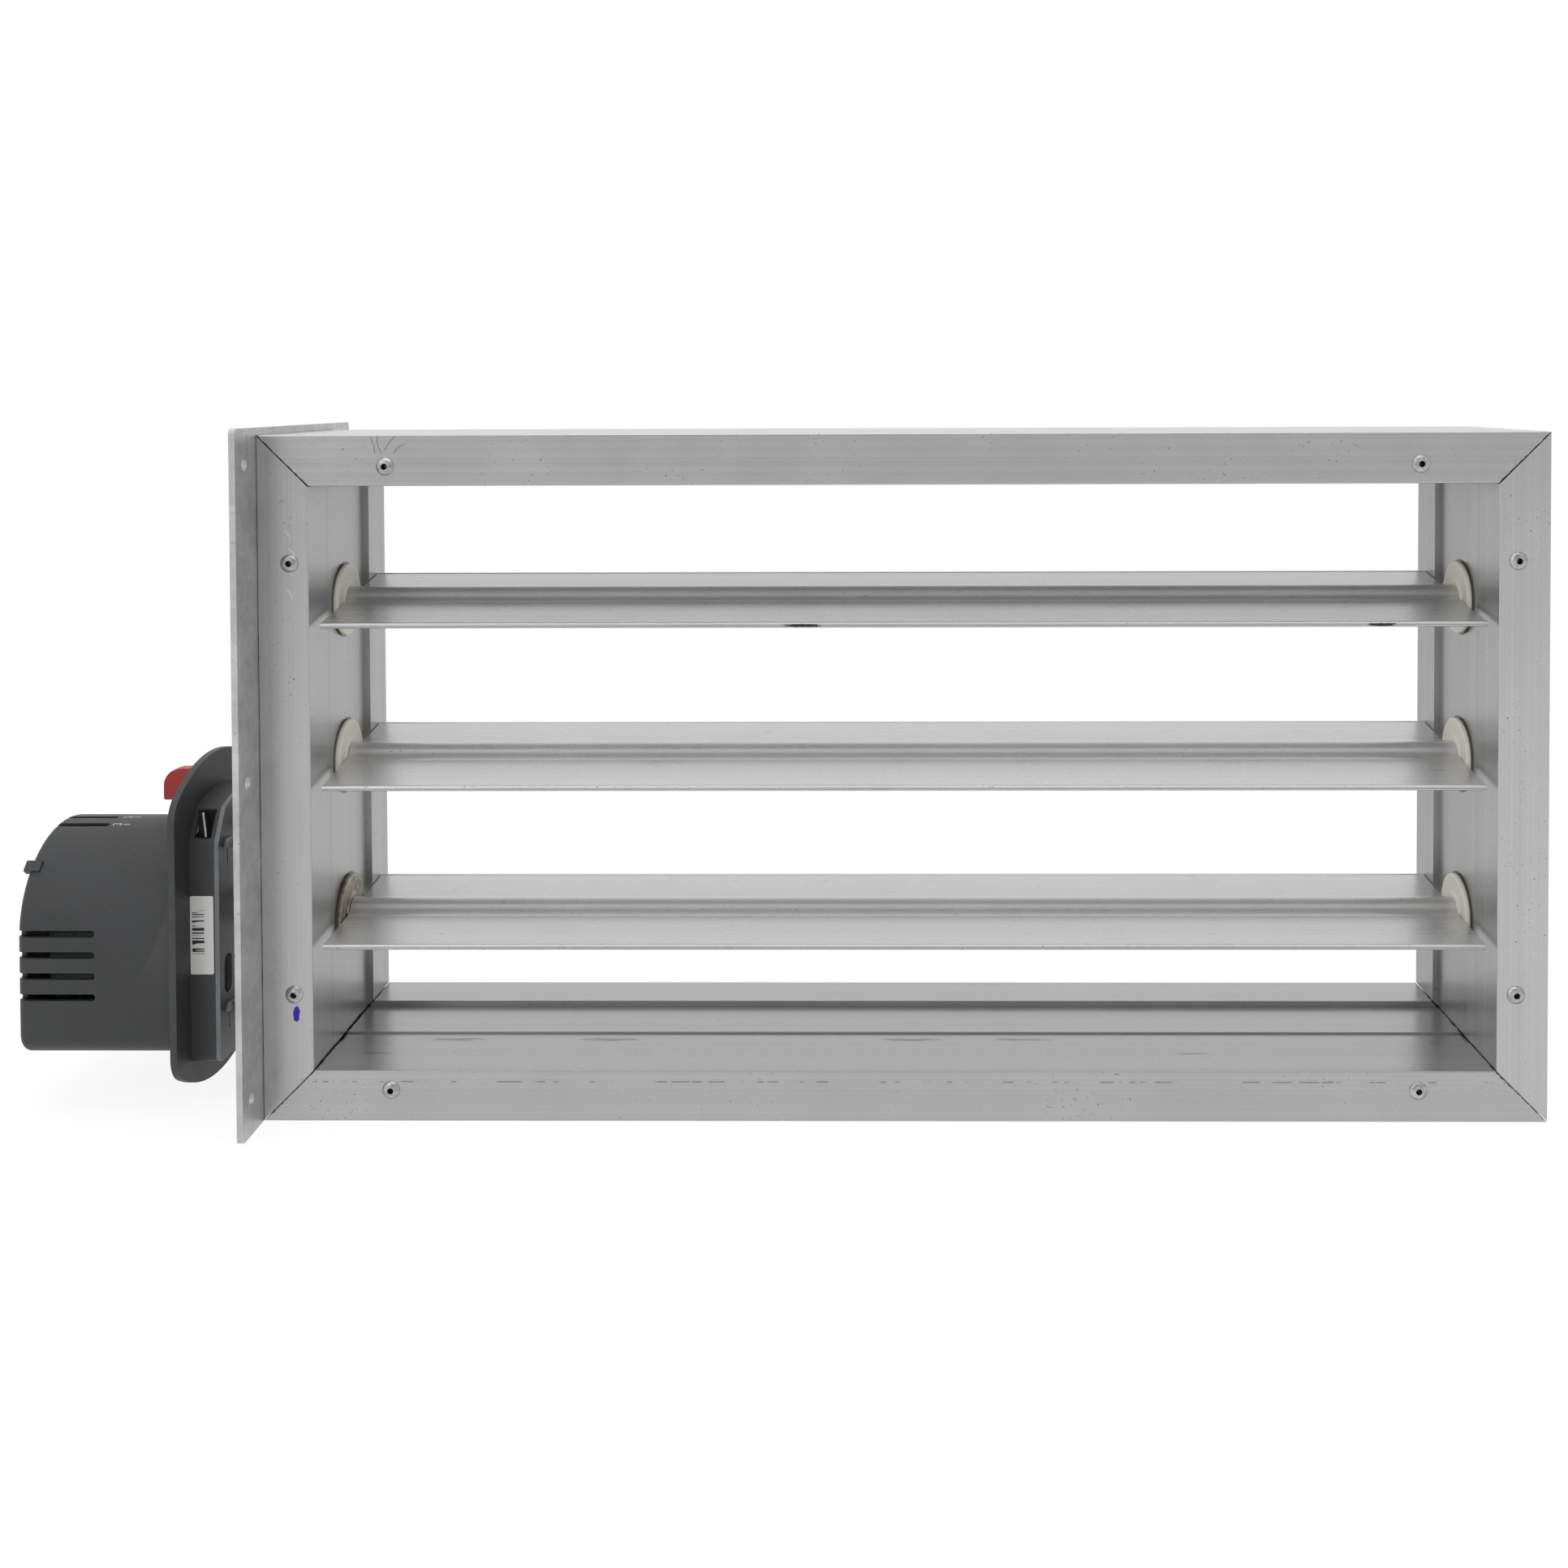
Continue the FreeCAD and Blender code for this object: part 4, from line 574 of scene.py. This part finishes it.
def make_label(finish):
    """Flat sheet on the base's front wall. Row v is narrowed near the ends by r - sqrt(r^2 - (r - d)^2),
    where d is the row's distance from the end, so its corners are round."""
    d = np.concatenate([LABEL_CORNER * (1 - np.cos(np.linspace(0, np.pi / 2, 7))), [5 * MM]])
    length = LABEL_Z[1] - LABEL_Z[0]
    from_end = np.concatenate([d, (length - d)[::-1]])
    nearest = np.minimum(np.minimum(from_end, length - from_end), LABEL_CORNER)
    inset = LABEL_CORNER - np.sqrt(LABEL_CORNER ** 2 - (LABEL_CORNER - nearest) ** 2)
    u = np.linspace(-1, 1, 9)
    half = (LABEL_X[1] - LABEL_X[0]) / 2 - inset
    x = sum(LABEL_X) / 2 + half[:, None] * u[None, :]
    z = np.repeat((LABEL_Z[0] + from_end)[:, None], len(u), 1)
    front, back = [np.stack([x, np.full_like(x, LABEL_WALL_Y - lift), z], -1)
                   for lift in (LABEL_THICKNESS, 0.0)]
    mesh = sheet_between("wall_label", front, back)
    add_piece("wall_label", mesh, finish, "frame", "housing_grey")


MARK_WIDTH = 0.55 * MM
MARK_LIFT = 0.07 * MM
DIGIT_WIDTH = 2.6
TWO_X = -78 * MM
THREE_X = -79 * MM
THREE_ANGLE = 0.21


def bow(middle, radius, start, end, steps=12):
    """Points middle + radius * (cos a, sin a), for a from start to end in degrees."""
    a = np.radians(np.linspace(start, end, steps))
    return np.stack([middle[0] + radius * np.cos(a), middle[1] + radius * np.sin(a)], -1)


def ribbon_on_cover(path, angle, start_x):
    """Printed line on the round cover. A path point (right, up) in millimetres, moved half the width
    along the path's normal n, lies at x = start_x - up and at the angle a = angle - right / R towards
    the front, on the radius R + lift."""
    path = path * MM
    along = np.gradient(path, axis=0)
    along /= np.linalg.norm(along, axis=1, keepdims=True)
    normal = np.stack([-along[:, 1], along[:, 0]], -1) * MARK_WIDTH / 2
    flat = np.stack([path - normal, path + normal, path + normal, path - normal], 1)
    lift = np.array([-MARK_LIFT, -MARK_LIFT, MARK_LIFT, MARK_LIFT])
    a = angle - flat[..., 0] / COVER_RADIUS
    radius = COVER_RADIUS + lift
    return np.stack([start_x - flat[..., 1], AXIS_Y - radius * np.sin(a), DRIVE_Z + radius * np.cos(a)], -1)


def make_dial_marks(finish):
    """The digits 2 and 3 with a tick under each, read from the cover's end."""
    centre = DIGIT_WIDTH / 2
    foot = [(0.9, 0.9), (0.3, 0.28), (1.0, 0.25), (2.5, 0.25)]
    two = np.concatenate([bow((centre, 2.75), 1.05, 160, -35), foot])
    three = np.concatenate([bow((1.2, 2.95), 0.85, 150, -80), bow((1.2, 1.18), 0.95, 80, -150)])
    tick = np.array([(centre, -3.9), (centre, -0.7)])
    marks = ((two, 0.0, TWO_X), (tick, 0.0, TWO_X),
             (three, THREE_ANGLE, THREE_X), (tick, THREE_ANGLE, THREE_X))
    points, faces, used = [], [], 0
    for path, angle, x in marks:
        ribbon = ribbon_on_cover(path - (centre, 0), angle, x)
        rows = len(ribbon)
        ends = np.array([[0, 1, 2, 3], np.arange(4) + 4 * (rows - 1)])
        points.append(ribbon.reshape(-1, 3))
        faces.append(np.concatenate([grid_faces(rows, 4, True), ends]) + used)
        used += 4 * rows
    mesh = solid_mesh("dial_marks", np.concatenate(points), np.concatenate(faces))
    add_piece("dial_marks", mesh, finish, "frame", "housing_grey")


def make_clip_recess(finish):
    """Closed back of the clip's pocket: a panel dished by depth * (1 - u^2) * (1 - v^2), with u and v from
    -1 to 1 across its width and height."""
    u, v = np.meshgrid(np.linspace(-1, 1, 9), np.linspace(-1, 1, 11))
    x = sum(RECESS_X) / 2 + u * (RECESS_X[1] - RECESS_X[0]) / 2
    z = sum(RECESS_Z) / 2 + v * (RECESS_Z[1] - RECESS_Z[0]) / 2
    dished = RECESS_Y + RECESS_DEPTH * (1 - u ** 2) * (1 - v ** 2)
    flat = np.full_like(x, RECESS_Y + 1.6 * RECESS_DEPTH)
    front, back = [np.stack([x, y, z], -1) for y in (dished, flat)]
    mesh = sheet_between("clip_recess", front, back)
    add_piece("clip_recess", mesh, finish, "frame", "housing_grey")


# Setting

def show(node, finish):
    """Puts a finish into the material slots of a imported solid."""
    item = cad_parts[node]
    if not item.material_slots:
        item.data.materials.append(finish)
    for slot in item.material_slots:
        slot.material = finish


# Dark joint line with painted shade on the mitres
seam_and_shade = (mitre_joint_shade, 0.92, grey(0.025))
# Painted shade: a near-black ragged line along the inner corner where the drive jamb meets the bottom
# rail's floor
inner_corner_shade = (ragged_spot((22.3, -8, INNER_FLOOR), (0.9, 42, 0.9), 2.2, (1.2, 5, 1.2)), 0.9, grey(0.02))
smudges = [(ragged_spot((x, -13.5, INNER_FLOOR), (17, 1.9, 1.5), 1.6, (8, 0.5, 2)), 0.6, grey(0.13))
           for x in (76, 145, 284, 333)]
smudges += [(ragged_spot((x, -31, INNER_FLOOR), (9, 1.0, 1.5), 1.6, (5, 0.4, 2)), 0.5, grey(0.15))
            for x in (44, 410)]
chips = [(ragged_spot((x, -45.6, 64.9), (length, 1.0, 0.8)), 0.95, grey(0.03))
         for x, length in ((237.5, 10), (490.5, 8))]
marker_dab = (ragged_spot((14.9, FACE_Y, -105), (1.7, 1.5, 4)), 1.0, (0.035, 0.025, 0.33, 1))
rail_arcs = ((34, 140, 18, 51), (62, 147, 9, 53), (75, 133, 21, 59), (66, 139, 6, 61))
rail_scratches = [(scratched((x, FACE_Y, z), radius, (near, FACE_Y, 145), (4.5, 1, 4.5)), 0.6, grey(0.1))
                  for x, z, radius, near in rail_arcs]
jamb_arcs = ((6, 101, 9), (12, 96, 4), (5, 84, 11), (11, 78, 4))
jamb_scratches = [(scratched((x, FACE_Y, z), radius, (x + radius * 0.8, FACE_Y, z + radius * 0.5),
                             (2.5, 1, 3)), 0.5, grey(0.75)) for x, z, radius in jamb_arcs]
bottom_marks = [seam_and_shade, inner_corner_shade, (scuffed_row, 0.6, grey(0.1))] + smudges
jamb_marks = [seam_and_shade, (die_line, 0.4, grey(0.2)), (bush_grime, 0.75, grey(0.06))]
drive_marks = jamb_marks + [inner_corner_shade, marker_dab] + jamb_scratches

steel = turned_metal("bright_steel", grey(0.62), grey(0.45), 0.28)
rivet_steel = turned_metal("rivet_aluminium", grey(0.50), grey(0.30), 0.32)
cream = moulded("cream_nylon", (0.88, 0.86, 0.78, 1), (0.81, 0.78, 0.69, 1), 0.45, 0.01 * MM, 0.4)
housing_grain = {"rough": 0.50, "grain_depth": 0.05 * MM, "specular": 0.35}
base_grey = moulded("grained_base", grey(0.062, -0.03), grey(0.053, -0.03), **housing_grain)
cover_grey = moulded("grained_cover", grey(0.050, -0.03), grey(0.043, -0.03), flare_highlight=painted_flare_highlight,
                     **housing_grain)
bronze = tarnished_bronze("oiled_bronze")
zinc = zinc_sheet("zinc_mounting_plate", 0.50, 0.004)
# The back plate is bright zinc given a low level: a painted dark reflection
blue_zinc_painted_dark = zinc_sheet("blue_zinc_back_plate", 0.19, -0.03)

own_finishes = {
    "frame_top_rail": extruded_aluminium("top_rail", "X", 0.47, "front", [seam_and_shade] + rail_scratches),
    "frame_bottom_rail": extruded_aluminium("bottom_rail", "X", 0.43, "front", bottom_marks),
    "drive_jamb": extruded_aluminium("drive_jamb", "Z", 0.45, "front", drive_marks, glance=0.7),
    "far_jamb": extruded_aluminium("far_jamb", "Z", 0.49, "front", jamb_marks, glance=0.5),
    "blade_bottom": extruded_aluminium("bottom_blade", "X", 0.61, "top", metal=BLADE_METAL),
    "blade_middle": extruded_aluminium("middle_blade", "X", 0.63, "top", metal=BLADE_METAL),
    "blade_top": extruded_aluminium("top_blade", "X", 0.58, "top", chips, BLADE_METAL),
    "mounting_plate": zinc,
    "back_plate": blue_zinc_painted_dark,
    "actuator_base": base_grey,
    "actuator_cover": cover_grey,
    "setting_lever": red_with_painted_top("red_lever"),
    "bronze_bush": bronze,
    "circuit_board": circuit_green_and_shade("green_board"),
    "cable_grommet": moulded("black_rubber", grey(0.02), grey(0.012), 0.7, 0.03 * MM, 0.3),
    "motor": turned_metal("motor_can", grey(0.5), grey(0.38), 0.35),
}
shared_finishes = (
    (zinc, ("corner_gussets_front", "corner_gussets_back", "gear_plate", "link_bar",
            "crank_bottom", "crank_middle", "crank_top")),
    (steel, ("near_axle_middle", "near_axle_top", "far_axle_bottom", "far_axle_middle", "far_axle_top",
             "drive_shaft", "drive_hub", "crank_screw_bottom", "crank_screw_middle", "crank_screw_top",
             "crank_pin_bottom", "crank_pin_middle", "crank_pin_top", "standoffs", "standoff_screws",
             "spring_clip", "idler_arbor", "motor_pinion", "gear_plate_posts")),
    (cream, ("output_gear", "idler_gear", "terminal_block")),
)
for node, finish in own_finishes.items():
    show(node, finish)
for finish, nodes in shared_finishes:
    for node in nodes:
        show(node, finish)

# The mandrels are coloured near black: painted shade for the rivets' dark holes
make_rivets(rivet_steel, turned_metal("mandrel_painted_dark", grey(0.12), grey(0.015), 0.3))
make_bushes(cream, bronze)
make_label(striped_label("striped_label", (-37 * MM, -31.6 * MM), (-84 * MM, -64 * MM)))
make_dial_marks(printed_white("white_print"))
# The pocket's back is near black, darker than the housing: painted shade in the pocket
make_clip_recess(moulded("recess_painted_shade", grey(0.014), grey(0.008), 0.6, 0.02 * MM, 0.3))


# Studio

ROOM = 0.75
FLOOR_HALF = 6.0
CARD_HALF = 3.5
CARD_Y = -3.0
CARD_Z = (-0.2, 3.4)
CARD_LEVEL = 0.6

# Fitted view: its place, its turns, and its width, centre and focal length in pixels
CAMERA_PLACE = (274.35 * MM, -753.57 * MM, 167.76 * MM)
YAW, PITCH, ROLL = 0.0098, 0.0235, -0.0032
VIEW_WIDTH = 1932
VIEW_CENTRE = (1072.0, 528.09)
VIEW_FOCAL = 2000
SENSOR = 36


def seen_ray(f):
    """1 for rays from the camera and for reflected and refracted ones."""
    seen = f.node("ShaderNodeLightPath", output="Is Camera Ray")
    for kind in ("Is Glossy Ray", "Is Transmission Ray"):
        seen = f.maths("MAXIMUM", seen, f.node("ShaderNodeLightPath", output=kind))
    return seen


def flat_sheet(name, corners, material):
    """Single face of the studio."""
    mesh = bpy.data.meshes.new(name)
    mesh.from_pydata(corners, [], [(0, 1, 2, 3)])
    mesh.materials.append(material)
    sheet = bpy.data.objects.new(name, mesh)
    bpy.context.scene.collection.objects.link(sheet)
    return sheet


def make_floor():
    """Wide white floor that keeps the damper's shadow."""
    material, f = new_finish("white_floor")
    lit = f.node("ShaderNodeBsdfDiffuse", None, {"Color": grey(0.85)})
    bright = f.node("ShaderNodeEmission", None, {"Color": grey(1.0), "Strength": 1.1})
    f.close(f.node("ShaderNodeMixShader", None, {0: 0.8 * seen_ray(f), 1: lit, 2: bright}))
    z = cad_box[0].z - 0.1 * MM
    corners = [(x * FLOOR_HALF, y * FLOOR_HALF, z) for x, y in ((-1, -1), (1, -1), (1, 1), (-1, 1))]
    floor = flat_sheet("floor", corners, material)


def make_world():
    """White backdrop, in what the metal reflects too, round a softer room."""
    world = bpy.data.worlds.new("studio")
    bpy.context.scene.world = world
    world.use_nodes = True
    f = Finish(world.node_tree)
    strength = ROOM + (1 - ROOM) * seen_ray(f)
    f.close(f.node("ShaderNodeBackground", None, {"Color": grey(1.0), "Strength": strength}),
            "ShaderNodeOutputWorld")


def make_card():
    """Grey card behind the camera and out of its sight, which the faces turned to it reflect."""
    material, f = new_finish("card_grey")
    f.close(f.node("ShaderNodeEmission", None, {"Color": grey(CARD_LEVEL), "Strength": 1.0}))
    low, high = CARD_Z
    corners = [(-CARD_HALF, CARD_Y, low), (CARD_HALF, CARD_Y, low),
               (CARD_HALF, CARD_Y, high), (-CARD_HALF, CARD_Y, high)]
    card = flat_sheet("grey_card", corners, material)
    card.visible_camera = False


def make_light(name, place, target, size, power):
    """Rectangular lamp at a place, turned to its target, with its power in watts."""
    data = bpy.data.lights.new(name, "AREA")
    data.shape = "RECTANGLE"
    data.size, data.size_y = size
    data.energy = power
    light = bpy.data.objects.new(name, data)
    bpy.context.scene.collection.objects.link(light)
    away = np.array(place) - np.array(target)
    away = away / np.linalg.norm(away)
    side = np.cross((0, 1, 0) if abs(away[2]) > 0.9 else (0, 0, 1), away)
    side = side / np.linalg.norm(side)
    turn = Matrix(np.stack([side, np.cross(away, side), away], 1).tolist()).to_4x4()
    light.matrix_world = Matrix.Translation(place) @ turn


def make_camera():
    """View fitted to the frame's corners, the plate and the round bushes."""
    ahead = np.array((-math.sin(YAW) * math.cos(PITCH), math.cos(YAW) * math.cos(PITCH), -math.sin(PITCH)))
    level = np.array((math.cos(YAW), math.sin(YAW), 0))
    above = np.cross(level, ahead)
    right = math.cos(ROLL) * level + math.sin(ROLL) * above
    up = np.cross(right, ahead)
    data = bpy.data.cameras.new("camera")
    data.sensor_width = SENSOR
    data.lens = SENSOR * VIEW_FOCAL / VIEW_WIDTH
    data.shift_x = (VIEW_WIDTH / 2 - VIEW_CENTRE[0]) / VIEW_WIDTH
    data.shift_y = (VIEW_CENTRE[1] - VIEW_WIDTH / 2) / VIEW_WIDTH
    data.clip_start = 0.01
    camera = bpy.data.objects.new("camera", data)
    bpy.context.scene.collection.objects.link(camera)
    turn = Matrix(np.stack([right, up, -ahead], 1).tolist()).to_4x4()
    camera.matrix_world = Matrix.Translation(CAMERA_PLACE) @ turn
    bpy.context.scene.camera = camera


make_floor()
make_world()
make_card()
make_light("overhead_softbox", (0.25, -0.1, 1.5), (0.28, 0, 0), (1.8, 1.4), 9)
make_light("front_fill", (-0.9, -1.4, 0.8), (0.2, 0, 0), (0.9, 0.9), 4)
make_camera()
bpy.context.scene.view_settings.view_transform = "Standard"
